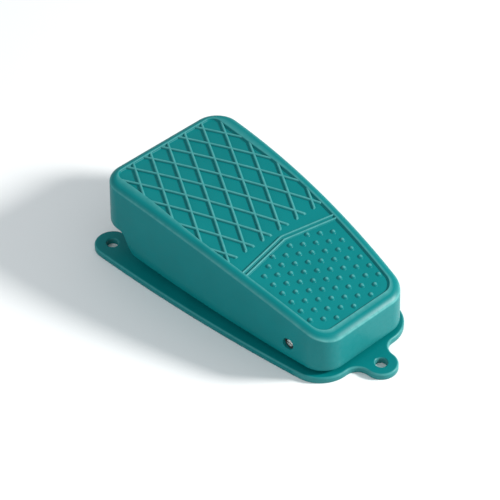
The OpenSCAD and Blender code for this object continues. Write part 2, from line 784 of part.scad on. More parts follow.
// Open spring clips in the pin's grooves, one against each lug
module pin_clips() {
    color(steel) for (side = [-1, 1]) scale([side, 1, 1]) translate([0, hinge_y, hinge_z]) difference() {
        bar_x(clip_d, lug_in_x - clip_t - slip, lug_in_x - slip);
        bar_x(groove_d + 2 * run_fit, lug_in_x - clip_t - slip - cut, lug_in_x - slip + cut);
        block([0, -groove_d * 0.4, 0], [lug_in_x, groove_d * 0.4, clip_d]);
    }
}

// Centre line of the return spring: flat end turns and an even rise between them
function spring_rise_share(turn) =
    let (free = spring_turns - 2 * spring_flat_turns)
    turn < spring_flat_turns ? 0
    : turn > spring_turns - spring_flat_turns ? 1
    : (turn - spring_flat_turns) / free;
function spring_end_lift(turn) = spring_end_pitch
    * (min(turn, spring_flat_turns) + max(0, turn - spring_turns + spring_flat_turns));
spring_span = spring_z1 - spring_z0 - wire_d - 2 * spring_end_pitch * spring_flat_turns;
function spring_point(turn) = [spring_r * cos(360 * turn), spring_y + spring_r * sin(360 * turn),
    spring_z0 + wire_d / 2 + spring_end_lift(turn) + spring_span * spring_rise_share(turn)];
spring_count = spring_turns * spring_rings;
spring_path = [for (i = [0:spring_count]) spring_point(i / spring_rings)];

// Corners of the wire's section at each step of the path
function wire_loop(i) =
    let (p = spring_path[i], turn = i / spring_rings,
         out = [cos(360 * turn), sin(360 * turn), 0])
    [for (k = [0:spring_sides - 1]) let (a = 360 * k / spring_sides)
        p + wire_d / 2 * (out * cos(a) + [0, 0, sin(a)])];

// Least gap between turns: the wire's centre lines compared a turn apart, less the wire
spring_gap = min([for (i = [0:spring_count - spring_rings])
    norm(spring_path[i + spring_rings] - spring_path[i]) - wire_d]);

module return_spring() {
    n = spring_sides;
    loops = [for (i = [0:spring_count]) wire_loop(i)];
    sides = [for (i = [0:spring_count - 1]) for (k = [0:n - 1]) let (a = i * n + k, b = i * n + (k + 1) % n)
        each [[a, b + n, a + n], [a, b, b + n]]];
    first = [for (k = [1:n - 2]) [0, k + 1, k]];
    last = [for (k = [1:n - 2]) let (t = spring_count * n) [t, t + k, t + k + 1]];
    echo(least_gap_between_turns = spring_gap);
    color(steel) polyhedron(points = [for (loop = loops) for (p = loop) p],
        faces = concat(sides, first, last), convexity = 10);
}

// Steel angle that carries the micro switch
module switch_bracket() {
    y0 = switch_y0 + bracket_in;
    y1 = switch_y1 - bracket_in;
    mid_y = (y0 + y1) / 2;
    gap_y = bracket_foot_l / 3;
    color(zinc) difference() {
        union() {
            block([bracket_x0, y0, bracket_z0], [bracket_x0 + bracket_t, y1, bracket_up]);
            block([bracket_x0, y0, bracket_z0], [bracket_x0 + bracket_foot_l, y1, bracket_z0 + bracket_t]);
        }
        for (y = hole_ys) {
            translate([0, y, hole_z])
                bar_x(switch_screw_d + 2 * slip, bracket_x0 - cut, bracket_x0 + bracket_t + cut);
            translate([bracket_screw_x, y, 0])
                bar_z(bracket_screw_d + 2 * slip, bracket_z0 - cut, bracket_z0 + bracket_t + cut);
        }
        block([bracket_x0 + bracket_t + nut_t, mid_y - gap_y, bracket_z0 - cut],
              [bracket_x0 + bracket_foot_l + cut, mid_y + gap_y, bracket_z0 + bracket_t + cut]);
    }
}

module bracket_screws() {
    z0 = bracket_z0 + bracket_t;
    color(zinc) for (y = hole_ys) translate([bracket_screw_x, y, z0])
        slotted_screw(bracket_screw_d, z0 - blind_floor - slip, bracket_head_d, bracket_head_t);
}

// Slots for the terminals' posts through the case's floor
module terminal_slots() {
    z0 = switch_z0 - cut;
    z1 = switch_z0 + case_floor + cut;
    deep = post_t / 2 + slip;
    block([-post_w / 2 - slip, blade_y - deep, z0], [post_w / 2 + slip, blade_y + deep, z1]);
    block([open_post_x - slip, contact_y - deep, z0], [open_post_x + post_w + slip, contact_y + deep, z1]);
    block([tab_x - slip, contact_y - deep, z0], [tab_x + post_t + slip, contact_y + deep, z1]);
}

module switch_case() {
    ear_x0 = lever_w / 2 + 2 * slip;
    ear_x1 = lever_w / 2 + lever_ear_t;
    color(phenolic) difference() {
        union() {
            block([case_x0, switch_y0, switch_z0], [case_x1, switch_y1, switch_z1]);
            for (side = [-1, 1]) scale([side, 1, 1]) {
                translate([0, lever_pin_y, lever_z]) bar_x(lever_ear_l, ear_x0, ear_x1, fn_small);
                block([ear_x0, lever_pin_y - lever_ear_l / 2, switch_z1 - cut],
                      [ear_x1, lever_pin_y + lever_ear_l / 2, lever_z]);
            }
        }
        difference() {
            block([case_x0 - cut, switch_y0 + switch_wall, switch_z0 + case_floor],
                  [case_x1 - switch_wall, switch_y1 - switch_wall, switch_z1 - case_roof]);
            for (y = hole_ys) translate([0, y, hole_z]) bar_x(hole_boss_d, case_x0 - 2 * cut, case_x1);
        }
        for (y = hole_ys) translate([0, y, hole_z])
            bar_x(switch_screw_d + 2 * slip, case_x0 - cut, case_x1 + cut);
        translate([0, plunger_y, 0])
            bar_z(plunger_d + 2 * run_fit, switch_z1 - case_roof - cut, switch_z1 + cut);
        translate([0, lever_pin_y, lever_z]) bar_x(lever_pin_d + 2 * run_fit, -switch_w, switch_w, fn_small);
        terminal_slots();
        for (p = terminal_places()) translate([p[0], p[1], 0])
            bar_z(terminal_screw_d + 2 * slip, switch_z0 - cut, terminal_hole_z, fn_small);
    }
}

module switch_cover() {
    color(phenolic) difference() {
        block([-switch_w / 2, switch_y0, switch_z0], [case_x0 - slip, switch_y1, switch_z1]);
        for (y = hole_ys) translate([0, y, hole_z]) bar_x(switch_screw_d + 2 * slip, -switch_w, 0);
    }
}

module switch_plunger() {
    neck_z = switch_z1 - case_roof - slip;
    tip_d = plunger_d * plunger_tip_share;
    color(nylon) translate([0, plunger_y, 0]) {
        bar_z(plunger_d, plunger_foot_z, plunger_top_z - plunger_d / 4);
        intersection() {
            bar_z(plunger_d, plunger_top_z - plunger_d / 2, plunger_top_z + cut);
            translate([0, 0, plunger_top_z - tip_d / 2]) sphere(d = tip_d, $fn = fn_small);
        }
        bar_z(plunger_flange_d, neck_z - plunger_flange_t, neck_z);
    }
}

// Sprung lever over the plunger, rolled round its pin at one end
module switch_lever() {
    color(steel) difference() {
        union() {
            block([-lever_w / 2, lever_pin_y, lever_z - lever_t / 2],
                  [lever_w / 2, press_y + lever_tail, lever_z + lever_t / 2]);
            translate([0, lever_pin_y, lever_z]) bar_x(knuckle_d, -lever_w / 2, lever_w / 2, fn_small);
        }
        translate([0, lever_pin_y, lever_z]) bar_x(lever_pin_d + 2 * run_fit, -lever_w, lever_w, fn_small);
    }
}

module lever_pin() {
    color(steel) translate([0, lever_pin_y, lever_z])
        bar_x(lever_pin_d, -lever_w / 2 - lever_ear_t, lever_w / 2 + lever_ear_t, fn_small);
}

// Moving blade with its contact, and the fixed contacts above and below it
module contact_blade() {
    color(brass) {
        block([-blade_w / 2, blade_y - 2 * post_t, blade_z - blade_t / 2],
              [blade_w / 2, contact_y + contact_d / 2, blade_z + blade_t / 2]);
        translate([0, contact_y, 0]) bar_z(contact_d, blade_z - contact_t, blade_z + contact_t, fn_small);
    }
}

module tab(x, y) {
    z0 = switch_z0 - slip - tab_t;
    difference() {
        block([x - tab_w / 2, y - tab_l / 2, z0], [x + tab_w / 2, y + tab_l / 2, switch_z0 - slip]);
        translate([x, y, 0]) bar_z(terminal_screw_d + 2 * slip, z0 - cut, switch_z0 + cut, fn_small);
    }
}

// Where each terminal's screw stands
function terminal_places() =
    [[0, blade_y + tab_l / 2], [-tab_x, contact_y - tab_l / 2], [tab_x, contact_y - tab_l / 2]];

module common_terminal() {
    color(brass) {
        tab(0, terminal_places()[0][1]);
        block([-post_w / 2, blade_y - post_t / 2, switch_z0 - slip - tab_t],
              [post_w / 2, blade_y + post_t / 2, blade_z - blade_t / 2 - touch_gap]);
    }
}

module open_terminal() {
    top = blade_z - contact_t - contact_travel - touch_gap;
    color(brass) {
        tab(-tab_x, terminal_places()[1][1]);
        block([open_post_x, contact_y - post_t / 2, switch_z0 - slip - tab_t],
              [open_post_x + post_w, contact_y + post_t / 2, top - contact_t]);
        block([open_post_x, contact_y - arm_w / 2, top - contact_t - post_t],
              [arm_w / 2, contact_y + arm_w / 2, top - contact_t]);
        translate([0, contact_y, 0]) bar_z(contact_d, top - contact_t - slip, top, fn_small);
    }
}

module closed_terminal() {
    low = blade_z + contact_t + touch_gap;
    high = low + contact_t + post_t;
    color(brass) {
        tab(tab_x, terminal_places()[2][1]);
        block([tab_x, contact_y - post_t / 2, switch_z0 - slip - tab_t],
              [tab_x + post_t, contact_y + post_t / 2, high]);
        block([-arm_w / 2, contact_y - arm_w / 2, low + contact_t],
              [tab_x + post_t, contact_y + arm_w / 2, high]);
        translate([0, contact_y, 0]) bar_z(contact_d, low, low + contact_t + slip, fn_small);
    }
}

module terminal_screws() {
    z0 = switch_z0 - slip - tab_t;
    color(brass) for (p = terminal_places()) translate([p[0], p[1], z0]) mirror([0, 0, 1])
        slotted_screw(terminal_screw_d, terminal_hole_z - slip - z0, terminal_head_d, terminal_head_t);
}

module switch_screws() {
    l = switch_w + bracket_t + nut_t + 4 * slip;
    color(zinc) for (y = hole_ys) translate([-switch_w / 2, y, hole_z]) rotate([0, -90, 0])
        slotted_screw(switch_screw_d, l, bracket_head_d, bracket_head_t);
}

module switch_nuts() {
    x0 = bracket_x0 + bracket_t;
    color(zinc) for (y = hole_ys) translate([0, y, hole_z]) rotate([0, 90, 0]) difference() {
        hex_z(nut_af, x0, x0 + nut_t);
        bar_z(switch_screw_d + 2 * run_fit, x0 - cut, x0 + nut_t + cut, fn_small);
    }
}

// Gland: threaded body through the toe wall, rubber seal, cap outside and locknut inside
module gland_body() {
    color(zinc) translate([0, 0, gland_z]) difference() {
        union() {
            bar_y(gland_d, gland_y0, gland_y1);
            rotate([-90, 0, 0]) hex_z(gland_af, toe_wall_y, toe_wall_y + gland_hex_t);
        }
        bar_y(gland_bore_d, gland_y0 - cut, gland_y1 + cut);
    }
}

module gland_seal() {
    y0 = gland_y1 + slip;
    color(rubber) translate([0, 0, gland_z]) difference() {
        bar_y(gland_d - touch_gap, y0, y0 + gland_seal_l);
        bar_y(gland_bore_d, y0 - cut, y0 + gland_seal_l + cut);
    }
}

module gland_cap() {
    y0 = toe_wall_y + gland_hex_t + slip;
    lip_y = gland_y1 + gland_seal_l + 2 * slip;
    color(zinc) translate([0, 0, gland_z]) difference() {
        intersection() {
            rotate([-90, 0, 0]) hex_z(gland_af, y0, y0 + gland_cap_l);
            translate([0, y0 + gland_cap_l - gland_af, 0])
                sphere(d = gland_cap_share * gland_af, $fn = fn_round);
        }
        bar_y(gland_d + 2 * run_fit, y0 - cut, lip_y);
        bar_y(gland_bore_d, y0, y0 + gland_cap_l + cut);
    }
}

module gland_locknut() {
    y1 = toe_wall_y - wall_t - slip;
    color(zinc) translate([0, 0, gland_z]) difference() {
        rotate([-90, 0, 0]) hex_z(gland_af, y1 - gland_nut_t, y1);
        bar_y(gland_d + 2 * run_fit, y1 - gland_nut_t - cut, y1 + cut);
    }
}

module earth_screw() {
    z0 = floor_t + earth_boss_h + earth_washer_t + slip;
    color(brass) translate([earth_x, earth_y, z0])
        slotted_screw(earth_screw_d, z0 - blind_floor - slip, earth_head_d, earth_head_t);
}

module earth_washer() {
    z0 = floor_t + earth_boss_h + slip / 2;
    color(zinc) translate([earth_x, earth_y, 0]) difference() {
        bar_z(earth_washer_d, z0, z0 + earth_washer_t, fn_small);
        bar_z(earth_screw_d + 2 * slip, z0 - cut, z0 + earth_washer_t + cut, fn_small);
    }
}

base_casting();
hinge_pin();
pin_clips();
return_spring();
switch_bracket();
bracket_screws();
switch_case();
switch_cover();
switch_plunger();
switch_lever();
lever_pin();
contact_blade();
common_terminal();
closed_terminal();
open_terminal();
terminal_screws();
switch_screws();
switch_nuts();
gland_body();
gland_seal();
gland_cap();
gland_locknut();
earth_screw();
earth_washer();
pedal_casting();
hinge_bushes();
adjusting_screw();
adjusting_nut();
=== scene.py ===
"""Treadle foot switch: the pedal with its tread, the base, and the finishes of all its pieces."""
import json
import math

import bmesh
import bpy
from bpy.props import FloatProperty, FloatVectorProperty, PointerProperty
from mathutils import Matrix, Vector


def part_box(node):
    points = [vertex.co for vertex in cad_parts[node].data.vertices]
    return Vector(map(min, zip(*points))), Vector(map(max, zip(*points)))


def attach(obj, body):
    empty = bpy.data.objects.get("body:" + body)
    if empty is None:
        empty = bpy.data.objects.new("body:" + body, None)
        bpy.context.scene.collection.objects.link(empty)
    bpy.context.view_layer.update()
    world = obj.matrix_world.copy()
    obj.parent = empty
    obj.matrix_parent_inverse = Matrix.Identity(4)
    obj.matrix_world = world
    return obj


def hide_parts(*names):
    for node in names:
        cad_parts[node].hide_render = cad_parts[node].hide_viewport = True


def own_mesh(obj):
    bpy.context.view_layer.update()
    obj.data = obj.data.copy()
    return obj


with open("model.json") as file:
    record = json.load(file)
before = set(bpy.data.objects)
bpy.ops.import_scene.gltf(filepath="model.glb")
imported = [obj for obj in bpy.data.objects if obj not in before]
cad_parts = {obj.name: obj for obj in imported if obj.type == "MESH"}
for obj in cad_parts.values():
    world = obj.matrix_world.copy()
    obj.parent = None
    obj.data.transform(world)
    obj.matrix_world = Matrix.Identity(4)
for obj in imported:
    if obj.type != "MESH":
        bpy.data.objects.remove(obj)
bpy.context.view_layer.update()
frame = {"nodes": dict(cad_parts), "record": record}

bl_info = {
    "name": "Treadle foot switch",
    "version": (1, 0, 0),
    "blender": (4, 5, 0),
    "location": "3D View > Sidebar > Foot Switch",
    "description": "Builds a cast treadle foot switch with a ribbed and domed tread",
    "category": "Add Mesh",
}

MM = 0.001
BASE_LOW, BASE_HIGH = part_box("base_casting")
JOINTS = {joint["name"]: joint for joint in frame["record"]["behaviour"]["joints"]}
HINGE = JOINTS["pedal_hinge"]["pos_m"]
PRESSED = math.radians(JOINTS["pedal_hinge"]["range_deg"][1])


def length(name, description, millimetres):
    """A size that the panel shows as a length."""
    return FloatProperty(name=name, description=description, default=millimetres * MM,
                         unit="LENGTH", precision=5)


def angle(name, description, degrees):
    """An angle that the panel shows in degrees."""
    return FloatProperty(name=name, description=description, default=math.radians(degrees), subtype="ANGLE")


def colour(name, description, value):
    """A colour that the panel shows as a swatch."""
    return FloatVectorProperty(name=name, description=description, default=value, subtype="COLOR",
                               min=0, max=1)


class PedalSizes(bpy.types.PropertyGroup):
    """Sizes of the pedal casting."""
    toe_reach: length("Toe reach", "From the toe to the toe ears' ends", 3.6)
    heel_reach: length("Heel reach", "From the heel to the heel ear's end", 20.1)
    toe_w: length("Toe width", "Width at the toe without the bow", 92.6)
    heel_w: length("Heel width", "Width at the heel without the bow", 64.6)
    side_bow: length("Side bow", "How far each side swells halfway along", 3.1)
    toe_corner_r: length("Toe corner radius", "Radius of the corners at the toe", 14.5)
    heel_corner_r: length("Heel corner radius", "Radius of the corners at the heel", 13.9)
    toe_h: length("Toe height", "Height of the tread at the toe", 51.5)
    heel_h: length("Heel height", "Height of the tread at the heel", 28.8)
    crown: length("Crown", "Rise of the tread over a line from heel to toe", 6.4)
    edge_w: length("Edge width", "Width over which the rim falls to its corner", 3.8)
    edge_h: length("Edge height", "Height over which the rim falls to its corner", 2.5)
    skirt_draft: length("Skirt draft", "How much the skirt leans in at the top", 0.7)
    wall: length("Wall", "Thickness of the skirt", 3)
    roof: length("Roof", "Thickness under the tread's panel", 3)
    skirt_heel_z: length("Skirt at heel", "Height of the skirt's lower edge at the heel", 6.7)
    skirt_toe_z: length("Skirt at toe", "Height that its slope would reach at the toe", 10.8)
    toe_cut_z: length("Toe cut height", "Height of the lower edge round the toe", 22)
    toe_cut_l: length("Toe cut length", "Length of the raised edge from the toe", 18)
    toe_cut_rise_l: length("Toe cut rise", "Length over which the lower edge rises", 11)
    stop_w: length("Stop width", "Width of the two stops along the pedal", 4)
    stop_l: length("Stop length", "How far the stops stand in from the skirt", 6)


class TreadSizes(bpy.types.PropertyGroup):
    """Sizes of the tread's panel, ribs, chevron and domes."""
    rim_w: length("Rim width", "Width of the rim beside the heel zone", 6.2)
    rim_more_w: length("Rim growth", "How much wider the rim gets beside the toe", 2.8)
    rim_heel_w: length("Rim heel width", "Width of the rim at the heel", 7.6)
    rim_toe_w: length("Rim toe width", "Width of the rim at the toe", 5.3)
    panel_d: length("Panel depth", "Depth of the panel under the rim", 1.2)
    toe_r: length("Panel toe radius", "Radius of the panel's corners at the toe", 5)
    heel_r: length("Panel heel radius", "Radius of the panel's corners at the heel", 7.5)
    rib_w: length("Rib width", "Width of the ribs", 1.6)
    rib_h: length("Rib height", "Height of the ribs and the chevron's bars", 1.05)
    rib_pitch: length("Rib pitch", "Distance from rib to rib", 11.3)
    rib_a: angle("Rib angle", "Angle between the ribs and the pedal's length", 29)
    rib_start: length("Rib start", "From the chevron's tip to the first crossings", 10.5)
    rib_end: length("Rib end", "From the chevron's tip to the ribs' ends", 5)
    dome_d: length("Dome diameter", "Diameter of the domes", 3.1)
    dome_h: length("Dome height", "Height of the domes", 1.15)
    dome_pitch: length("Dome pitch", "Distance between domes along a column", 7.05)
    dome_row: length("Dome columns", "Distance from column to column", 6.5)
    dome_start: length("Dome start", "From the chevron's tip to the first dome", 6)
    chevron_y: length("Chevron place", "From the toe to the chevron's tip", 101.6)
    chevron_a: angle("Chevron angle", "Slope of the chevron's arms", 10)
    chevron_w: length("Chevron bar", "Width of each of the two bars", 1.2)
    chevron_gap: length("Chevron groove", "Width of the groove between the bars", 1.4)


class BaseSizes(bpy.types.PropertyGroup):
    """Sizes of the base casting."""
    plate_t: length("Flange thickness", "Thickness of the flange and its ears", 4)
    floor_t: length("Floor thickness", "Thickness of the floor inside the wall", 3)
    toe_w: length("Flange at toe", "Width of the flange beside the toe", 6.6)
    heel_w: length("Flange at heel", "Width of the flange beside the heel", 2.9)
    end_w: length("Flange end", "Width of the flange behind the heel", 2.3)
    corner_r: length("Corner radius", "Radius of the flange's corners at the heel", 18)
    heel_ear_r: length("Heel ear radius", "Radius of the ear at the heel", 9.5)
    toe_ear_r: length("Toe ear radius", "Radius of the ears at the toe", 10.3)
    blend_r: length("Ear blend radius", "Radius of the hollow beside the heel ear", 8)
    hole_d: length("Fixing hole", "Diameter of the ears' holes", 7)
    edge_r: length("Edge radius", "Rounding of the flange's upper edge", 1.1)
    wall_h: length("Wall height", "Height of the wall inside the skirt", 20)
    wall_t: length("Wall thickness", "Thickness of that wall", 2.5)
    wall_gap: length("Wall gap", "Gap between the skirt and that wall", 1.5)
    toe_wall_back: length("Toe wall", "From the ears' ends back to the toe wall", 24.8)
    rest_w: length("Rest width", "Width of the block that the pedal rests on", 14)
    rest_l: length("Rest length", "Length of that block in front of the wall", 5)
    rest_h: length("Rest height", "Height of that block", 14)


class SpringSizes(bpy.types.PropertyGroup):
    """Sizes of the return spring."""
    wire_d: length("Wire", "Diameter of the wire", 1.8)
    turns: FloatProperty(name="Turns", description="Number of turns", default=8)
    end_gap: length("End gap", "Gap beside the flat turn at each end", 0.5)


class Finishes(bpy.types.PropertyGroup):
    """Colours of the finishes."""
    enamel: colour("Enamel", "Satin enamel on both castings", (0.001, 0.172, 0.178))
    # The highlight colour paints highlights on crests, dome tops and edges, and a sheen on the heel, with
    # slight wear on the rims
    enamel_pale: colour("Enamel highlight", "Enamel rubbed on ribs and edges", (0.11, 0.37, 0.36))
    steel: colour("Steel", "Bright steel", (0.8, 0.79, 0.76))
    zinc: colour("Zinc", "Zinc plate with a yellow tint", (0.58, 0.53, 0.38))
    brass: colour("Brass", "Contacts, terminals and gland", (0.62, 0.43, 0.16))
    phenolic: colour("Phenolic", "Switch mouldings", (0.016, 0.012, 0.011))
    nylon: colour("Nylon", "Plunger", (0.66, 0.62, 0.5))
    rubber: colour("Rubber", "Seal and bushes", (0.014, 0.014, 0.014))
    floor: colour("Floor", "Studio floor", (0.9, 0.9, 0.9))


class StageSetup(bpy.types.PropertyGroup):
    """Camera and light."""
    eye: FloatVectorProperty(name="Eye", description="Where the camera stands", subtype="TRANSLATION",
                             unit="LENGTH", default=(-0.623094, -0.644311, 0.848214))
    aim: FloatVectorProperty(name="Aim", description="What the camera looks at", subtype="TRANSLATION",
                             unit="LENGTH", default=(-0.005736, 0.010436, 0.025))
    lens: FloatProperty(name="Lens", description="Focal length for a 36 mm wide sensor", default=158.55)
    key_power: FloatProperty(name="Key light", description="Power of the key light in watts", default=29)
    fill_power: FloatProperty(name="Fill light", description="Power of the fill light in watts", default=3.6)
    sky: FloatProperty(name="Sky", description="Strength of the even light all round", default=0.56)


def settings(name):
    """One of the groups of sizes above."""
    return getattr(bpy.context.scene, "foot_" + name)


# Shapes that both castings follow

# Steps round each of the pedal's corners and along its sides, and the least radius of a corner set in
CORNER_STEPS, SIDE_STEPS, LEAST_R = 12, 110, 2 * MM
# Steps along the parts of the flange's outline
BASE_STEPS = {"heel_ear": 24, "hollow": 12, "corner": 14, "side": 60, "toe_ear": 28, "recess": 10}
# Share of the toe half's length over which the rim grows wider
RIM_GROWTH_SHARE = 0.72
# Between the toe ears: how far the flange stands out from the toe wall, and the radius of its corners
RECESS_D, RECESS_R = 1.5 * MM, 5 * MM
# The lugs that carry the pin: radius, thickness, outer faces' place, and how far they first stand past it
LUG_R, LUG_T, LUG_X, LUG_MORE = 6.1 * MM, 6 * MM, 29.78 * MM, 0.1 * MM
# Diameters of the bores for the bushes, the pin and the gland
BUSH_BORE, PIN_BORE, GLAND_BORE = 7.1 * MM, 5.1 * MM, 12.2 * MM
# Diameter and width of the room for a bush beside its lug, and the flare of the ears' holes
BUSH_ROOM_D, BUSH_ROOM_W, FLARE = 13 * MM, 6 * MM, 0.5 * MM
# Roundings of the skirt's lower edge and of the base, and the share of one at which its middle ring lies
SKIRT_LIP, BASE_LIP, LIP_SHARE = 0.5 * MM, 0.4 * MM, 0.3


def heel_y():
    """Place of the pedal's heel."""
    return BASE_LOW[1] + settings("pedal").heel_reach


def toe_y():
    """Place of the pedal's toe."""
    return BASE_HIGH[1] - settings("pedal").toe_reach


def tread_arc():
    """Radius and centre of the tread's arch."""
    p = settings("pedal")
    heel, toe = heel_y(), toe_y()
    rise = p.toe_h - p.heel_h
    chord, lean = math.hypot(toe - heel, rise), math.atan2(rise, toe - heel)
    r = (chord * chord / 4 + p.crown ** 2) / (2 * p.crown)
    y = (toe + heel) / 2 + (r - p.crown) * math.sin(lean)
    return r, y, (p.toe_h + p.heel_h) / 2 - (r - p.crown) * math.cos(lean)


def top_z(y):
    """Height of the tread's arch at a place along the pedal."""
    r, cy, cz = tread_arc()
    return cz + math.sqrt(r * r - (y - cy) ** 2)


def low_z(y):
    """Height of the skirt's lower edge: a long slope, then a smooth step up round the toe."""
    p = settings("pedal")
    heel, toe = heel_y(), toe_y()
    slope = (p.skirt_toe_z - p.skirt_heel_z) / (toe - heel)
    y0 = toe - p.toe_cut_l - p.toe_cut_rise_l
    rise = max(0, min(1, (y - y0) / p.toe_cut_rise_l))
    z = p.skirt_heel_z + slope * (min(y, y0) - heel)
    return z + (p.toe_cut_z - z) * (1 - math.cos(math.pi * rise)) / 2


def bow_share(y, y0, y1):
    """Share of the side's bow at a place along it."""
    s = max(0, min(1, (y - y0) / (y1 - y0)))
    return 4 * s * (1 - s)


def arc(centre, r, a0, a1, steps):
    """Points along an arc in the plan, angles in radians."""
    turns = [a0 + (a1 - a0) * i / steps for i in range(steps + 1)]
    return [(centre[0] + r * math.cos(a), centre[1] + r * math.sin(a)) for a in turns]


def step_on(place, way, distance):
    """A place in the plan moved along a direction."""
    return place[0] + way[0] * distance, place[1] + way[1] * distance


def side_between(c0, r0, c1, r1, run, steps):
    """Points of the side between two corners' arcs, without its ends. Its angle from X is run."""
    out = (math.cos(run - math.pi / 2), math.sin(run - math.pi / 2))
    ends = list(zip(step_on(c0, out, r0), step_on(c1, out, r1)))
    return [tuple(a + (b - a) * i / steps for a, b in ends) for i in range(1, steps)]


def centre_of(box):
    """Middle of a box in the plan."""
    low, high = box
    return (low[0] + high[0]) / 2, (low[1] + high[1]) / 2


def closed(half, y0, y1, w0, bow):
    """A half outline, swollen along its side, with its mirror image."""
    half = [(x + bow * bow_share(y, y0, y1) * min(1, 2 * x / w0), y) for x, y in half]
    return half + [(-x, y) for x, y in reversed(half)]


def pedal_plan(d, y1=None, end_d=0, heel_r=None, toe_r=None, side_steps=SIDE_STEPS):
    """Outline of the pedal, set in by d all round and by end_d more at both ends."""
    p = settings("pedal")
    heel, toe = heel_y(), toe_y()
    run = math.atan2(toe - heel, (p.toe_w - p.heel_w) / 2)
    a0, a1 = heel + d + end_d, (toe if y1 is None else y1) - d - end_d
    w0 = p.heel_w / 2 + (a0 - heel) / math.tan(run) - d / math.sin(run)
    w1 = p.heel_w / 2 + (a1 - heel) / math.tan(run) - d / math.sin(run)
    r0 = heel_r if heel_r else max(p.heel_corner_r - d, LEAST_R)
    r1 = toe_r if toe_r else max(p.toe_corner_r - d, LEAST_R)
    c0 = (w0 - r0 * math.tan(run / 2), a0 + r0)
    c1 = (w1 - r1 * math.tan(math.pi / 2 - run / 2), a1 - r1)
    side = side_between(c0, r0, c1, r1, run, side_steps)
    half = (arc(c0, r0, -math.pi / 2, run - math.pi / 2, CORNER_STEPS) + side
            + arc(c1, r1, run - math.pi / 2, math.pi / 2, CORNER_STEPS))
    return closed(half, heel, toe, p.heel_w / 2, p.side_bow)


def panel_plan(d):
    """Outline of the tread's panel, set in by d. At the toe its sides run closer together."""
    p, t = settings("pedal"), settings("tread")
    middle, plain_w = (heel_y() + toe_y()) / 2, p.toe_w / 2 - t.rim_w
    outline = pedal_plan(t.rim_w + d, toe_y() + t.rim_heel_w - t.rim_toe_w, t.rim_heel_w - t.rim_w,
                         t.heel_r - d, t.toe_r - d)
    points = []
    for x, y in outline:
        s = max(0, min(1, (y - middle) / (toe_y() - middle) / RIM_GROWTH_SHARE))
        points.append((x * (1 - t.rim_more_w * s * s * (3 - 2 * s) / plain_w), y))
    return points


def base_plan(d):
    """Outline of the flange with its three ears, set in by d all round."""
    p, b = settings("pedal"), settings("base")
    low_y = heel_y() - b.end_w
    ear = (p.toe_w / 2 + b.toe_w - b.toe_ear_r, BASE_HIGH[1] - b.toe_ear_r)
    heel_ear_y = BASE_LOW[1] + b.heel_ear_r
    w0, w1 = p.heel_w / 2 + b.heel_w, ear[0] + b.toe_ear_r
    run = math.atan2(ear[1] - low_y, w1 - w0)
    v0 = w0 - d / math.sin(run) + d / math.tan(run)
    r0, y0, blend = b.corner_r - d, low_y + d, b.blend_r + d
    blend_y = y0 - blend
    blend_x = math.sqrt((b.heel_ear_r - d + blend) ** 2 - (blend_y - heel_ear_y) ** 2)
    tilt = math.atan2(blend_y - heel_ear_y, blend_x)
    c0 = (v0 - r0 * math.tan(run / 2), y0 + r0)
    steps = BASE_STEPS
    side = side_between(c0, r0, ear, b.toe_ear_r - d, run, steps["side"])
    inner = (ear[0] - b.toe_ear_r - RECESS_R, BASE_HIGH[1] - b.toe_wall_back + RECESS_D + RECESS_R)
    skip = math.radians(2)
    half = (arc((0, heel_ear_y), b.heel_ear_r - d, skip - math.pi / 2, tilt, steps["heel_ear"])
            + arc((blend_x, blend_y), blend, math.pi - skip + tilt, math.pi / 2, steps["hollow"])
            + arc(c0, r0, -math.pi / 2, run - math.pi / 2, steps["corner"]) + side
            + arc(ear, b.toe_ear_r - d, run - math.pi / 2, math.pi, steps["toe_ear"])
            + arc(inner, RECESS_R + d, 0, -math.pi / 2, steps["recess"]))
    return closed(half, low_y, ear[1], w0, p.side_bow)


# Mesh steps

# Steps round tools and bosses, round the spring's pocket and round a dome
ROUND_STEPS, POCKET_STEPS, DOME_STEPS = 48, 64, 14


def ring(bm, points):
    """A closed loop of vertices, made as a circle and moved onto points."""
    verts = bmesh.ops.create_circle(bm, segments=len(points), radius=1)["verts"]
    for v, p in zip(verts, points):
        v.co = p
    return verts


def grow(bm, loop, points):
    """Extrude a closed loop and move the new vertices onto points."""
    edges = [bm.edges.get((loop[i - 1], loop[i])) for i in range(len(loop))]
    made = bmesh.ops.extrude_edge_only(bm, edges=edges)["geom"]
    old, above = set(loop), {}
    for v in made:
        if isinstance(v, bmesh.types.BMVert):
            for e in v.link_edges:
                if e.other_vert(v) in old:
                    above[e.other_vert(v)] = v
    new = [above[v] for v in loop]
    for v, p in zip(new, points):
        v.co = p
    return new


def close(bm, loop):
    """Close a loop that is alike left and right by strips from side to side."""
    half = len(loop) // 2
    sides = [bm.edges.get((loop[i], loop[i + 1])) for i in range(half - 1)]
    sides += [bm.edges.get((loop[i], loop[i + 1])) for i in range(half, 2 * half - 1)]
    bmesh.ops.bridge_loops(bm, edges=sides)


def fill(bm, loop):
    """Close a flat loop with one face."""
    bmesh.ops.contextual_create(bm, geom=[bm.edges.get((loop[i - 1], loop[i])) for i in range(len(loop))])


def skin(bm, rings, end=close):
    """A closed skin over rings of points, with both ends closed."""
    first = loop = ring(bm, rings[0])
    loops = [loop]
    for points in rings[1:]:
        loop = grow(bm, loop, points)
        loops.append(loop)
    end(bm, first)
    end(bm, loop)
    return loops


def bar(bm, rails, highlight_and_wear):
    """A raised bar. Each rail is a row of points along it, and one for each point of the section."""
    nx, ny = len(rails[0]) - 1, len(rails) - 1
    at = {}
    for v in bmesh.ops.create_grid(bm, x_segments=nx, y_segments=ny, size=1)["verts"]:
        i, j = round((v.co.x + 1) / 2 * nx), round((v.co.y + 1) / 2 * ny)
        v.co = rails[j][i]
        # Painted highlight along the bar's crest
        v[highlight_and_wear] = BAR_SECTION[j][2]
        at[i, j] = v
    sides = [bm.edges.get((at[i, j], at[i + 1, j])) for j in (0, ny) for i in range(nx)]
    bmesh.ops.bridge_loops(bm, edges=sides)
    for i in (0, nx):
        fill(bm, [at[i, j] for j in range(ny + 1)])


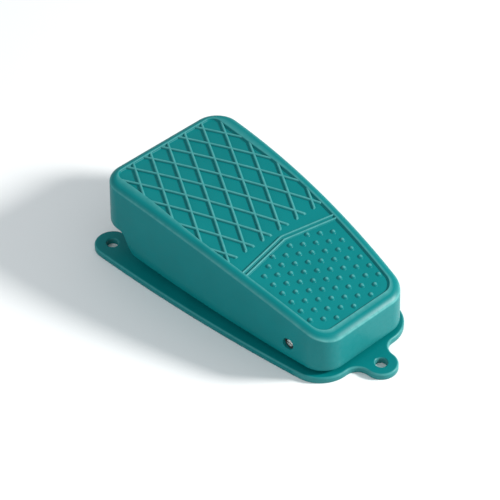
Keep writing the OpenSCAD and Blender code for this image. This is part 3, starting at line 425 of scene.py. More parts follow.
def turned(bm, profile, place, steps):
    """A turned shape: the profile is a row of (radius, height) from its foot to its top."""
    before = set(bm.verts)
    verts = [bm.verts.new((r, 0, z)) for r, z in profile]
    edges = [bm.edges.new(pair) for pair in zip(verts, verts[1:])]
    bmesh.ops.spin(bm, geom=verts + edges, cent=(0, 0, 0), axis=(0, 0, 1), angle=2 * math.pi,
                   steps=steps, use_merge=True)
    made = [v for v in bm.verts if v not in before]
    bmesh.ops.transform(bm, matrix=place, verts=made)
    bmesh.ops.remove_doubles(bm, verts=made, dist=1e-7)
    return [v for v in made if v.is_valid]


def to_object(bm, name, sharp=35):
    """Finish a mesh: faces outwards, smooth but for its sharp edges, and put into the scene."""
    bmesh.ops.recalc_face_normals(bm, faces=bm.faces)
    for face in bm.faces:
        face.smooth = True
    for edge in bm.edges:
        edge.smooth = len(edge.link_faces) != 2 or edge.calc_face_angle(0) < math.radians(sharp)
    mesh = bpy.data.meshes.new(name)
    bm.to_mesh(mesh)
    bm.free()
    obj = bpy.data.objects.new(name, mesh)
    bpy.context.scene.collection.objects.link(obj)
    return obj


def combine(obj, tool, operation):
    """Add a tool's shape to a piece, or cut it away, and drop the tool."""
    mod = obj.modifiers.new("step", "BOOLEAN")
    mod.operation, mod.solver, mod.object = operation, "EXACT", tool
    bpy.context.view_layer.update()
    mesh = bpy.data.meshes.new_from_object(obj.evaluated_get(bpy.context.evaluated_depsgraph_get()))
    obj.modifiers.clear()
    obj.data = mesh
    bpy.data.objects.remove(tool)


def solid(rings, name, sharp=35):
    """An object from rings with flat ends."""
    bm = bmesh.new()
    skin(bm, rings, fill)
    return to_object(bm, name, sharp)


def round_tool(profile, place):
    """A turned shape as an object of its own."""
    bm = bmesh.new()
    turned(bm, profile, place, ROUND_STEPS)
    return to_object(bm, "round_tool")


def bore(place, d, depth, axis="Z", flare=0):
    """A tool that cuts a round hole, flared at its upper end."""
    r, end = d / 2, depth / 2
    mouth = [(r, end - flare - MM), (r + flare, end - MM), (r + flare, end)] if flare else [(r, end)]
    turn = {"X": Matrix.Rotation(math.pi / 2, 4, "Y"), "Y": Matrix.Rotation(-math.pi / 2, 4, "X"),
            "Z": Matrix()}
    return round_tool([(0, -end), (r, -end), *mouth, (0, end)], Matrix.Translation(place) @ turn[axis])


def brick(bm, low, high):
    """A lump with square edges between two corners."""
    for v in bmesh.ops.create_cube(bm, size=1)["verts"]:
        v.co = [low[i] if v.co[i] < 0 else high[i] for i in range(3)]


def block(low, high):
    """A tool with square edges."""
    bm = bmesh.new()
    brick(bm, low, high)
    return to_object(bm, "block_tool")


def level(points, z):
    """Points of the plan at one height."""
    return [(x, y, z) for x, y in points]


def under_tread(points, depth):
    """Points of the plan at a depth under the tread's arch."""
    return [(x, y, top_z(y) - depth) for x, y in points]


# Finishes

def plug(tree, node, inputs):
    """Give a node's inputs their values, or link them to other nodes' outputs."""
    for key, value in inputs.items():
        if isinstance(value, bpy.types.NodeSocket):
            tree.links.new(value, node.inputs[key])
        else:
            node.inputs[key].default_value = value
    return node


def add(tree, kind, inputs, **values):
    """A node with its settings and its inputs."""
    node = tree.nodes.new(kind)
    for key, value in values.items():
        setattr(node, key, value)
    return plug(tree, node, inputs)


def noise(tree, place, scale, detail):
    """Height of a noise, from 0 to 1."""
    return add(tree, "ShaderNodeTexNoise", {"Vector": place, "Scale": scale, "Detail": detail}).outputs[0]


def spread(tree, value, low, high, new_low, new_high):
    """A value spread from one range over another."""
    return add(tree, "ShaderNodeMapRange", {0: value, 1: low, 2: high, 3: new_low, 4: new_high}).outputs[0]


def cast_skin_group(tree, place, grain):
    """Orange peel and slow unevenness of enamel over a casting."""
    fine, slow = noise(tree, place, grain, 3), noise(tree, place, 60, 4)
    height = add(tree, "ShaderNodeMath", {0: slow, 1: 0.6, 2: fine}, operation="MULTIPLY_ADD")
    return {"Height": height.outputs[0], "Mottle": slow}


def highlight_and_wear_group(tree, place, mask):
    """Broken-up mask of the painted highlights on crests and edges, with slight wear on the rims."""
    patches = spread(tree, noise(tree, place, 320, 5), 0.25, 0.7, 0.55, 1)
    times = add(tree, "ShaderNodeMath", {0: patches, 1: mask}, operation="MULTIPLY", use_clamp=True)
    return {"Rubbed": times.outputs[0]}


def brushed_group(tree, place):
    """Fine scratches along one direction, and stains."""
    drawn = add(tree, "ShaderNodeVectorMath", {0: place, 1: (300, 6000, 6000)}, operation="MULTIPLY")
    return {"Height": noise(tree, drawn.outputs[0], 1, 4), "Tone": noise(tree, place, 220, 6)}


def moulded_group(tree, place, grain):
    """Pores and specks of a moulded or rubber surface."""
    cells = add(tree, "ShaderNodeTexVoronoi", {"Vector": place, "Scale": grain})
    return {"Height": noise(tree, place, grain, 2),
            "Specks": spread(tree, cells.outputs["Distance"], 0, 0.25, 1, 0)}


# Each shader group's maker, and what it takes besides object coordinates
SHADER_GROUPS = {"cast_skin": (cast_skin_group, {"Grain": 900}), "highlighted": (highlight_and_wear_group, {"Mask": 0}),
                 "brushed": (brushed_group, {}), "moulded": (moulded_group, {"Grain": 2500})}


def group_of(name):
    """A shader group with named sockets, built once."""
    if name in bpy.data.node_groups:
        return bpy.data.node_groups[name]
    maker, values = SHADER_GROUPS[name]
    tree = bpy.data.node_groups.new(name, "ShaderNodeTree")
    tree.interface.new_socket(name="Vector", in_out="INPUT", socket_type="NodeSocketVector")
    for label, value in values.items():
        socket = tree.interface.new_socket(name=label, in_out="INPUT", socket_type="NodeSocketFloat")
        socket.default_value = value
    start = tree.nodes.new("NodeGroupInput").outputs
    results = maker(tree, start["Vector"], *(start[label] for label in values))
    for label in results:
        tree.interface.new_socket(name=label, in_out="OUTPUT", socket_type="NodeSocketFloat")
    plug(tree, tree.nodes.new("NodeGroupOutput"), results)
    return tree


def use_group(tree, name, place, **values):
    """Place a shader group in a material."""
    return add(tree, "ShaderNodeGroup", {"Vector": place, **values}, node_tree=group_of(name))


def start_material(name):
    """A material with its shader, and object coordinates."""
    mat = bpy.data.materials.new(name)
    mat.use_nodes = True
    tree = mat.node_tree
    return mat, tree, tree.nodes["Principled BSDF"], tree.nodes.new("ShaderNodeTexCoord").outputs["Object"]


def blend_colours(tree, mask, low, high):
    """A blend of two colours by a mask. Each is a colour or comes from another node."""
    sockets = {key: c if isinstance(c, bpy.types.NodeSocket) else (*c, 1) for key, c in ((6, low), (7, high))}
    return add(tree, "ShaderNodeMix", {0: mask, **sockets}, data_type="RGBA").outputs[2]


def bump(tree, shader, height, strength, depth):
    """Raise the surface by a height that runs from 0 to 1, to a depth in metres."""
    node = add(tree, "ShaderNodeBump", {"Strength": strength, "Distance": depth, "Height": height})
    plug(tree, shader, {"Normal": node.outputs[0]})


def shade(rgb, share):
    """A colour made darker or paler."""
    return [c * share for c in rgb]


def enamel_material():
    """Satin enamel over a casting, paler where highlights and sheen are painted on crests and edges, with
    slight wear on the rims.
    """
    f = settings("finish")
    mat, tree, shader, place = start_material("teal_enamel")
    cast = use_group(tree, "cast_skin", place, Grain=700)
    mottle = cast.outputs["Mottle"]
    # The attribute tells where highlights and sheen are painted, on the rims also slight wear
    highlight_and_wear = add(tree, "ShaderNodeAttribute", {}, attribute_name="highlight_and_wear")
    highlighted = use_group(tree, "highlighted", place, Mask=highlight_and_wear.outputs["Fac"])
    plain = blend_colours(tree, mottle, shade(f.enamel, 0.9), shade(f.enamel, 1.1))
    plug(tree, shader, {"Base Color": blend_colours(tree, highlighted.outputs[0], plain, f.enamel_pale),
                        "Roughness": spread(tree, mottle, 0.3, 0.7, 0.34, 0.42),
                        "Specular IOR Level": 0.09, "Coat Weight": 0.06, "Coat Roughness": 0.25})
    bump(tree, shader, cast.outputs["Height"], 0.25, 0.05 * MM)
    return mat


def metal_material(name, rgb, rough):
    """Bright metal with fine scratches and faint stains."""
    mat, tree, shader, place = start_material(name)
    lines = use_group(tree, "brushed", place)
    stains = lines.outputs["Tone"]
    plug(tree, shader, {"Base Color": blend_colours(tree, stains, shade(rgb, 0.8), shade(rgb, 1.08)),
                        "Roughness": spread(tree, stains, 0.3, 0.7, *rough), "Metallic": 1})
    bump(tree, shader, lines.outputs["Height"], 0.3, 0.02 * MM)
    return mat


def moulded_material(name, rgb, speck, rough, grain):
    """Moulded plastic or rubber with pores and specks."""
    mat, tree, shader, place = start_material(name)
    pores = use_group(tree, "moulded", place, Grain=grain)
    plug(tree, shader, {"Base Color": blend_colours(tree, pores.outputs["Specks"], rgb, speck),
                        "Roughness": spread(tree, pores.outputs["Height"], 0.3, 0.7, *rough)})
    bump(tree, shader, pores.outputs["Height"], 0.3, 0.03 * MM)
    return mat


def finish_of(name):
    """A finish by name, made once."""
    if name in bpy.data.materials:
        return bpy.data.materials[name]
    if name == "teal_enamel":
        return enamel_material()
    f = settings("finish")
    metals = {"bright_steel": (f.steel, (0.24, 0.36)), "yellow_zinc": (f.zinc, (0.3, 0.45)),
              "brass": (f.brass, (0.22, 0.36))}
    if name in metals:
        return metal_material(name, *metals[name])
    mouldings = {"phenolic": (f.phenolic, shade(f.phenolic, 2.2), (0.32, 0.46), 2600),
                 "nylon": (f.nylon, shade(f.nylon, 0.93), (0.36, 0.48), 1800),
                 "black_rubber": (f.rubber, shade(f.rubber, 1.8), (0.6, 0.75), 3000)}
    return moulded_material(name, *mouldings[name])


NODES_OF_FINISH = {
    "bright_steel": ("hinge_pin", "pin_clips", "switch_lever", "lever_pin"),
    "yellow_zinc": ("switch_bracket", "bracket_screws", "switch_screws", "switch_nuts", "adjusting_screw",
                    "adjusting_nut"),
    "phenolic": ("switch_case", "switch_cover"),
    "nylon": ("switch_plunger",),
    "brass": ("contact_blade", "common_terminal", "closed_terminal", "open_terminal", "terminal_screws",
              "gland_body", "gland_cap", "gland_locknut", "earth_screw", "earth_washer"),
    "black_rubber": ("gland_seal", "hinge_bushes"),
}


# The pedal

# The step down to the panel: insets from its outline in mm, and shares of its depth
PANEL_STEP = [(0.95, 1.0), (0.62, 0.97), (0.38, 0.86), (0.22, 0.66), (0.08, 0.36), (-0.1, 0.14),
              (-0.35, 0.02), (-0.6, 0)]
# The rim's fall to its corner: shares of the edge's width, from the skirt, and of its height
RIM_EDGE = [(1, 0), (0.78, 0.045), (0.57, 0.16), (0.36, 0.33), (0.2, 0.49), (0.1, 0.61), (0.035, 0.75),
            (0.008, 0.88), (0, 1)]
# The hollow between skirt and roof inside: insets and drops in mm
ROOF_HOLLOW = [(0, 2), (0.25, 1), (0.9, 0.3), (2, 0)]


# Shares of the skirt's height at which its outer rings lie
SKIRT_SHARES = (0.3, 0.6, 0.85, 1)


def pedal_rings():
    """Rings of the pedal's skin, from the panel's floor over the rim and down to the roof's underside."""
    p, t = settings("pedal"), settings("tread")
    lip, part = SKIRT_LIP, SKIRT_LIP * LIP_SHARE

    def skirt(share, inset, lift=lip):
        """A ring at a share of the skirt's height, 1 at its lower edge, with an inset and a lift there."""
        points = []
        for (x0, y0), (x1, y1) in zip(pedal_plan(inset), pedal_plan(inset + p.skirt_draft)):
            high, low = top_z(y0) - p.edge_h, low_z(y0) + lift
            z = high + (low - high) * share
            lean = (z - p.skirt_heel_z) / (high - p.skirt_heel_z)
            points.append((x0 + (x1 - x0) * lean, y0 + (y1 - y0) * lean, z))
        return points

    rings = [under_tread(panel_plan(inset * MM), t.panel_d * share) for inset, share in PANEL_STEP]
    for inset, share in RIM_EDGE:
        rings.append(under_tread(pedal_plan(p.skirt_draft + p.edge_w * inset), p.edge_h * share))
    rings += [skirt(share, 0) for share in SKIRT_SHARES]
    rings += [skirt(1, part, part), skirt(1, lip, 0), skirt(1, p.wall - lip, 0)]
    rings += [skirt(1, p.wall - part, part), skirt(1, p.wall), skirt(0.5, p.wall)]
    for inset, drop in ROOF_HOLLOW:
        inner = pedal_plan(p.wall + p.skirt_draft + inset * MM)
        rings.append(under_tread(inner, t.panel_d + p.roof + drop * MM))
    return rings


def half_width(outline):
    """Half width of an outline by place along the pedal, below 0 outside it."""
    side = sorted((y, x) for x, y in outline if x > 0)

    def at(y):
        for (y0, x0), (y1, x1) in zip(side, side[1:]):
            if y0 <= y <= y1:
                return x0 + (x1 - x0) * ((y - y0) / (y1 - y0) if y1 > y0 else 0)
        return -1
    return at


# Half the section of ribs and bars: shares of the width and of the height, and the painted highlight there
BAR_HALF = [(0.84, -0.1, 0), (0.62, 0.05, 0), (0.5, 0.38, 0.05), (0.38, 0.8, 0.4), (0.2, 0.97, 0.62)]
BAR_SECTION = [(-w, share, crest_highlight) for w, share, crest_highlight in BAR_HALF] + [(0, 1, 0.66)] + BAR_HALF[::-1]
# Section of the domes: shares of the diameter and of the height
DOME_SECTION = [(0, -0.1), (0.64, -0.1), (0.54, 0.05), (0.46, 0.3), (0.36, 0.62), (0.24, 0.85), (0.12, 0.97),
                (0, 1)]
# How far ribs and bars run into the step round the panel, and the length of the slope at a rib's free end
BITE, RIB_SLOPE = 0.35 * MM, 0.9 * MM
# Steps along a rib, and the shares of its height to which its free end is flattened and by which it is sunk
RIB_STEPS, END_FLAT, END_SUNK = 22, 0.2, 0.3
# How far and in what steps a rib's rail that starts outside the zone is led into it
LEAD, LEAD_STEP = 4 * MM, 0.2 * MM
# The outermost ribs' number from the middle, in half pitches, and steps along half of a chevron's bar
LAST_RIB, CHEVRON_STEPS = 19, 16
# Columns of domes to each side of the middle, width free of domes beside the pedal's edge, and how far from
# a dome's top its painted highlight reaches, in diameters
DOME_COLUMNS, DOME_BORDER, DOME_HIGHLIGHT = 5, 7 * MM, 0.42


def run_inside(start, way, inside, reach=0.15, step=0.5 * MM):
    """How far a line runs inside a shape to both sides of a place in it."""
    out = []
    for sign in (-1, 1):
        t = 0
        while t < reach and inside(*step_on(start, way, sign * (t + step))):
            t += step
        low, high = t, t + step
        for _ in range(12):
            mid = (low + high) / 2
            if inside(*step_on(start, way, sign * mid)):
                low = mid
            else:
                high = mid
        out.append(sign * low)
    return out


def rib_rail(start, way, inside, share, y_end):
    """One rail of a rib, at a share of its height. It slopes down where it ends before the chevron."""
    t = settings("tread")
    low, high = run_inside(start, way, inside)
    free = start[1] + low * way[1] < y_end + 0.1 * MM
    runs = [low + (high - low) * i / RIB_STEPS for i in range(RIB_STEPS + 1)]
    runs.insert(1, low + min(RIB_SLOPE, (runs[1] - low) / 2))
    rail = []
    for i, run in enumerate(runs):
        x, y = step_on(start, way, run)
        lift = END_FLAT * share - END_SUNK if free and i == 0 else share
        rail.append((x, y, top_z(y) - t.panel_d + lift * t.rib_h))
    return rail


def add_ribs(bm, highlight_and_wear):
    """Ribs that cross in diamonds over the toe zone. They end on a straight line before the chevron."""
    t = settings("tread")
    tip = toe_y() - t.chevron_y
    width = half_width(panel_plan(-BITE))
    y_end, y0 = tip + t.rib_end, tip + t.rib_start
    half_along = t.rib_pitch / math.sin(t.rib_a) / 2

    def inside(x, y):
        return y >= y_end and abs(x) <= width(y)

    def place_on(sign, k, way):
        """A place on a rib's middle line that is well inside the zone, or None."""
        tries = 200
        for j in range(tries):
            y = y_end + (toe_y() - y_end) * (j + 0.5) / tries
            place = (sign * (y - y0 - k * half_along) * math.tan(t.rib_a), y)
            if all(inside(*step_on(place, way, d)) for d in (0, MM, -MM)):
                return place
        return None

    for sign in (-1, 1):
        way = (sign * math.sin(t.rib_a), math.cos(t.rib_a))
        across = (math.cos(t.rib_a), -sign * math.sin(t.rib_a))
        for k in range(-LAST_RIB, LAST_RIB + 1, 2):
            place = place_on(sign, k, way)
            if not place:
                continue
            rails = []
            for w, share, crest_highlight in BAR_SECTION:
                # A rail beside the middle line may start outside the zone, and is then led into it
                start = led = step_on(place, across, w * t.rib_w)
                while not inside(*led) and led[1] < place[1] + LEAD:
                    led = step_on(led, way, LEAD_STEP)
                rails.append(rib_rail(led if inside(*led) else start, way, inside, share, y_end))
            bar(bm, rails, highlight_and_wear)


def add_chevron(bm, highlight_and_wear):
    """Two bars side by side between the toe zone and the heel zone, pointing at the toe."""
    t = settings("tread")
    tip = toe_y() - t.chevron_y
    width = half_width(panel_plan(-BITE))
    slope = math.tan(t.chevron_a)
    for side in (-1, 1):
        rails = []
        for w, share, crest_highlight in BAR_SECTION:
            shift = side * (t.chevron_gap + t.chevron_w) / 2 + w * t.chevron_w
            reach = 30 * MM
            for _ in range(5):
                reach = width(tip + shift - reach * slope)
            rail = []
            for i in range(-CHEVRON_STEPS, CHEVRON_STEPS + 1):
                x = reach * i / CHEVRON_STEPS
                y = tip + shift - abs(x) * slope
                rail.append((x, y, top_z(y) - t.panel_d + share * t.rib_h))
            rails.append(rail)
        bar(bm, rails, highlight_and_wear)


def dome_places():
    """Places of the domes, in columns that are offset by half a pitch."""
    p, t = settings("pedal"), settings("tread")
    tip, heel, toe = toe_y() - t.chevron_y, heel_y(), toe_y()
    places = []
    for j in range(int((tip - heel) / (t.dome_pitch / 2)) + 1):
        for i in range(-DOME_COLUMNS, DOME_COLUMNS + 1):
            if (i + j) % 2:
                continue
            x, y = i * t.dome_row, tip - t.dome_start - j * t.dome_pitch / 2
            share = (y - heel) / (toe - heel)
            room = (p.heel_w / 2 + (p.toe_w - p.heel_w) / 2 * share + p.side_bow * bow_share(y, heel, toe)
                    - DOME_BORDER - t.dome_d / 2)
            below = tip - t.chevron_w - t.chevron_gap / 2 - t.dome_d / 2 - abs(x) * math.tan(t.chevron_a)
            corner = max(0, heel + t.rim_heel_w + p.heel_corner_r / 2 - y)
            if abs(x) < room - corner and y < below and y > heel + t.rim_heel_w + t.dome_d / 2:
                places.append((x, y))
    return places


def add_domes(bm, highlight_and_wear):
    """Low round domes over the heel zone."""
    t = settings("tread")
    for x, y in dome_places():
        lean = math.atan((top_z(y + MM) - top_z(y - MM)) / (2 * MM))
        place = Matrix.Translation((x, y, top_z(y) - t.panel_d)) @ Matrix.Rotation(lean, 4, "X")
        made = turned(bm, [(r * t.dome_d, z * t.dome_h) for r, z in DOME_SECTION], place, DOME_STEPS)
        # Painted highlight round the dome's top, fading out over a share of its diameter
        top = Vector((x, y, top_z(y) - t.panel_d + t.dome_h))
        for v in made:
            v[highlight_and_wear] = max(0, 1 - (v.co - top).length / (DOME_HIGHLIGHT * t.dome_d))


# Bosses under the roof: the bevel round their ends, and how much they spread towards the roof
BOSS_EDGE, BOSS_DRAFT = 0.4 * MM, 0.6 * MM
# Radii of the adjusting screw's hole and boss, and of the spring's pocket and its boss
SCREW_R, SCREW_BOSS_R, POCKET_R, POCKET_BOSS_R = 2.6 * MM, 6 * MM, 10.6 * MM, 12.8 * MM
# How far the pocket reaches down over the spring
POCKET_H = 6 * MM
# Gaps: nut to boss, spring to pocket, stops to wall when pressed, and rest to block
NUT_GAP, SPRING_GAP, STOP_GAP, REST_GAP = 0.1 * MM, 0.3 * MM, 0.25 * MM, 0.15 * MM


def deep_z(y):
    """Height at which bosses end, a little inside the roof."""
    return top_z(y) - settings("tread").panel_d - settings("pedal").roof + MM


def add_boss(bm, place, inner, r, foot, steps):
    """A boss under the roof. Its profile starts with the inner points given."""
    deep = deep_z(place[1])
    outer = [(r - BOSS_EDGE, foot), (r, foot + BOSS_EDGE), (r + BOSS_DRAFT, deep), (inner[0][0], deep)]
    turned(bm, inner + outer, Matrix.Translation((*place, 0)), steps)


def add_bosses(bm):
    """Bosses under the roof: for the adjusting screw, round the spring, the two stops and the rest."""
    p, b = settings("pedal"), settings("base")
    screw, foot = centre_of(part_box("adjusting_screw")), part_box("adjusting_nut")[1][2] + NUT_GAP
    add_boss(bm, screw, [(SCREW_R, deep_z(screw[1])), (SCREW_R, foot)], SCREW_BOSS_R, foot, ROUND_STEPS)

    low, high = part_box("return_spring")
    spring, ceiling, foot = centre_of((low, high)), high[2] + SPRING_GAP, high[2] - POCKET_H
    pocket = [(0, ceiling), (POCKET_R, ceiling), (POCKET_R, foot + BOSS_EDGE), (POCKET_R + BOSS_EDGE, foot)]
    add_boss(bm, spring, pocket, POCKET_BOSS_R, foot, POCKET_STEPS)

    # Stops beside the spring, which meet the base's wall when the pedal is down
    face = spring[1] + p.stop_w / 2
    rise = b.wall_h + STOP_GAP - HINGE[2] + (face - HINGE[1]) * math.sin(PRESSED)
    foot = HINGE[2] + rise / math.cos(PRESSED)
    side = half_width(pedal_plan(0))(spring[1]) - p.wall
    for sign in (-1, 1):
        x = sorted((sign * (side - p.stop_l), sign * (side + p.wall / 3)))
        brick(bm, (x[0], face - p.stop_w, foot), (x[1], face, deep_z(face)))

    # Rest at the heel, which sits on the base's block when the pedal is up
    rest = heel_y() + p.wall + 2 * b.wall_gap + b.wall_t
    brick(bm, (-b.rest_w / 2, rest, b.rest_h + REST_GAP), (b.rest_w / 2, rest + b.rest_l, deep_z(rest)))


# Tools for the bushes' bores in the skirt: how far their middles stand out from the bushes, and their length
BORE_OUT, BORE_L = 4 * MM, 16 * MM
# Painted highlights on the pedal's rings, by the ring's number from the panel's floor: on the lip round the
# panel and on the rim's corner, where they also stand for slight wear
HIGHLIGHT_AND_WEAR_RINGS = {5: 0.3, 6: 0.5, 7: 0.4, 11: 0.1, 12: 0.3, 13: 0.6, 14: 0.55, 15: 0.15}
# The rings from the corner down to the lower edge, which get a painted sheen at the heel
SHEEN_RINGS = range(13, 22)
# How far from the heel the painted highlights are stronger, the length over which that fades, and the painted
# sheen there
HEEL_HIGHLIGHT_REACH, HEEL_FADE, HEEL_SHEEN = 14 * MM, 10 * MM, 0.12


def enamelled(bm, name):
    """A casting's piece in its enamel."""
    obj = to_object(bm, name)
    obj.data.materials.clear()
    obj.data.materials.append(finish_of("teal_enamel"))
    return obj


def reopened(obj):
    """The mesh of a piece as a bmesh again, without the piece."""
    bm = bmesh.new()
    bm.from_mesh(obj.data)
    bpy.data.objects.remove(obj)
    return bm, bm.verts.layers.float.get("highlight_and_wear") or bm.verts.layers.float.new("highlight_and_wear")


class FOOT_OT_pedal(bpy.types.Operator):
    """Build the pedal casting with its tread"""
    bl_idname = "foot_switch.pedal"
    bl_label = "Pedal"

    def execute(self, context):
        bm = bmesh.new()
        highlight_and_wear = bm.verts.layers.float.new("highlight_and_wear")
        loops = skin(bm, pedal_rings())
        # Paint highlights on the panel's lip and the rim's corner, stronger at the heel, and a sheen on the
        # heel's skirt
        for n, loop in enumerate(loops):
            for v in loop:
                near = max(0, min(1, (heel_y() + HEEL_HIGHLIGHT_REACH - v.co.y) / HEEL_FADE))
                sheen = HEEL_SHEEN * near if n in SHEEN_RINGS else 0
                v[highlight_and_wear] = min(1, HIGHLIGHT_AND_WEAR_RINGS.get(n, 0) * (1 + near) + sheen)
        obj = to_object(bm, "pedal")
        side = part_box("hinge_bushes")[1][0] + BORE_OUT
        for sign in (-1, 1):
            tool = bore((sign * side, HINGE[1], HINGE[2]), BUSH_BORE, BORE_L, "X")
            combine(obj, tool, "DIFFERENCE")
        bm, highlight_and_wear = reopened(obj)
        add_ribs(bm, highlight_and_wear)
        add_chevron(bm, highlight_and_wear)
        add_domes(bm, highlight_and_wear)
        add_bosses(bm)
        obj = enamelled(bm, "pedal")
        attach(obj, "pedal")
        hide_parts("pedal_casting")
        return {"FINISHED"}


# The base

# Steps round the flange's upper edge, and how far in from its roundings the flat faces' rings lie
EDGE_STEPS, FOOT_IN, TOP_IN = 6, 0.5 * MM, 0.6 * MM
# Painted highlight on the flange's upper edge and on that edge behind the heel, and painted sheen on its side
# there
EDGE_HIGHLIGHT, HEEL_EDGE_HIGHLIGHT, HEEL_SIDE_SHEEN = 0.35, 0.6, 0.25
# How far the tool that cuts the room stands over the wall
ROOM_OVER = 5 * MM
# Tools for the ears' holes: how far their middles lie under the flange's top, and their length
EAR_BORE_IN, EAR_BORE_L = 4 * MM, 10 * MM


def base_flange():
    """The flange with its ears, rounded along its edges."""
    b = settings("base")
    part = BASE_LIP * LIP_SHARE
    rings = [level(base_plan(BASE_LIP + FOOT_IN), 0), level(base_plan(BASE_LIP), 0)]
    rings += [level(base_plan(part), part), level(base_plan(0), BASE_LIP)]
    for k in range(EDGE_STEPS + 1):
        a = math.pi / 2 * k / EDGE_STEPS
        inset, drop = b.edge_r * (1 - math.cos(a)), b.edge_r * (1 - math.sin(a))
        rings.append(level(base_plan(inset), b.plate_t - drop))
    rings.append(level(base_plan(b.edge_r + TOP_IN), b.plate_t))
    return solid(rings, "base")


def wall_plan(inset):
    """Outline of the wall inside the skirt, or a line set in from it."""
    p, b = settings("pedal"), settings("base")
    wall_in, steps = p.wall + b.wall_gap, BASE_STEPS["side"]
    return pedal_plan(wall_in + inset, BASE_HIGH[1] - b.toe_wall_back + wall_in, side_steps=steps)


def add_wall(obj):
    """The wall inside the skirt, and the room that it encloses."""
    b = settings("base")
    part = BASE_LIP * LIP_SHARE
    rings = [level(wall_plan(0), b.floor_t / 2), level(wall_plan(0), b.wall_h - BASE_LIP),
             level(wall_plan(part), b.wall_h - part), level(wall_plan(BASE_LIP), b.wall_h)]
    combine(obj, solid(rings, "wall_tool"), "UNION")
    rings = [level(wall_plan(b.wall_t), z) for z in (b.floor_t, b.wall_h + ROOM_OVER)]
    combine(obj, solid(rings, "room_tool"), "DIFFERENCE")


def add_lugs(obj):
    """The two lugs that carry the hinge pin."""
    b = settings("base")
    for sign in (-1, 1):
        half, over = LUG_T / 2, LUG_T / 2 + LUG_MORE
        place = Matrix.Translation((sign * (LUG_X - half), HINGE[1], HINGE[2]))
        lug = round_tool([(0, -half), (LUG_R, -half), (LUG_R, over), (0, over)],
                         place @ Matrix.Rotation(sign * math.pi / 2, 4, "Y"))
        combine(obj, lug, "UNION")
        x = sorted((sign * (LUG_X - LUG_T), sign * (LUG_X + LUG_MORE)))
        foot = block((x[0], HINGE[1] - LUG_R, b.floor_t / 2), (x[1], HINGE[1] + LUG_R, HINGE[2]))
        combine(obj, foot, "UNION")


# Posts on the floor: the bevel round their tops, and diameters and heights of the spring's guide, the
# bracket's pads and the earth screw's post. The pads stand in from the ends of the bracket's screws.
POST_EDGE = 0.5 * MM
GUIDE_D, GUIDE_Z = 12.4 * MM, 13 * MM
PAD_D, PAD_Z, PAD_IN = 10 * MM, 5 * MM, 3.7 * MM
EARTH_Z = 7 * MM


def add_posts(obj):
    """The spring's guide, the bracket's pads, the earth screw's post and the heel's rest."""
    p, b = settings("pedal"), settings("base")
    low_s, high_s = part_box("bracket_screws")
    pad_x = centre_of((low_s, high_s))[0]
    posts = [(centre_of(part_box("return_spring")), GUIDE_D, GUIDE_Z),
             ((pad_x, low_s[1] + PAD_IN), PAD_D, PAD_Z),
             ((pad_x, high_s[1] - PAD_IN), PAD_D, PAD_Z),
             (centre_of(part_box("earth_washer")), PAD_D, EARTH_Z)]
    for (x, y), d, z in posts:
        foot, r, edge = b.floor_t / 2, d / 2, POST_EDGE
        profile = [(0, foot), (r, foot), (r, z - edge), (r - edge, z), (0, z)]
        combine(obj, round_tool(profile, Matrix.Translation((x, y, 0))), "UNION")
    wall_y = heel_y() + p.wall + b.wall_gap + b.wall_t
    rest = block((-b.rest_w / 2, wall_y - b.wall_t / 2, b.floor_t / 2),
                 (b.rest_w / 2, wall_y + b.wall_gap + b.rest_l, b.rest_h))
    combine(obj, rest, "UNION")


def cut_bores(obj):
    """The ears' holes, the pin's bore, the gland's bore and room for the bushes beside the lugs."""
    p, b = settings("pedal"), settings("base")
    ear_x, ear_y = p.toe_w / 2 + b.toe_w - b.toe_ear_r, BASE_HIGH[1] - b.toe_ear_r
    for x, y in ((0, BASE_LOW[1] + b.heel_ear_r), (ear_x, ear_y), (-ear_x, ear_y)):
        hole = bore((x, y, b.plate_t - EAR_BORE_IN), b.hole_d, EAR_BORE_L, flare=FLARE)
        combine(obj, hole, "DIFFERENCE")
    bush_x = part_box("hinge_bushes")[1][0]
    combine(obj, bore((0, HINGE[1], HINGE[2]), PIN_BORE, 2 * bush_x, "X"), "DIFFERENCE")
    gland_low, gland_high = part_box("gland_cap")
    wall_y = BASE_HIGH[1] - b.toe_wall_back - b.wall_t / 2
    gland = bore((0, wall_y, (gland_low[2] + gland_high[2]) / 2), GLAND_BORE, b.wall_t + 2 * MM, "Y")
    combine(obj, gland, "DIFFERENCE")
    for sign in (-1, 1):
        place = (sign * (LUG_X + BUSH_ROOM_W / 2), HINGE[1], HINGE[2])
        room = bore(place, BUSH_ROOM_D, BUSH_ROOM_W, "X")
        combine(obj, room, "DIFFERENCE")


class FOOT_OT_base(bpy.types.Operator):
    """Build the base casting with its flange, ears, wall, lugs and posts"""
    bl_idname = "foot_switch.base"
    bl_label = "Base"

    def execute(self, context):
        b = settings("base")
        obj = base_flange()
        for step in (add_wall, add_lugs, add_posts, cut_bores):
            step(obj)
        bm, highlight_and_wear = reopened(obj)
        # Painted highlight on the flange's upper edge, strongest at the heel's end, and painted sheen on its
        # side there
        for v in bm.verts:
            if 0.05 < (b.plate_t - v.co.z) / b.edge_r < 0.8:
                v[highlight_and_wear] = EDGE_HIGHLIGHT if v.co.y > heel_y() else HEEL_EDGE_HIGHLIGHT
            elif v.co.z < b.plate_t and v.co.y < heel_y() + b.corner_r:
                v[highlight_and_wear] = HEEL_SIDE_SHEEN
        obj = enamelled(bm, "base")
        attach(obj, "base")
        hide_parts("base_casting")
        return {"FINISHED"}


# Steps of the spring along one turn and round its wire
TURN_STEPS, WIRE_STEPS = 28, 11


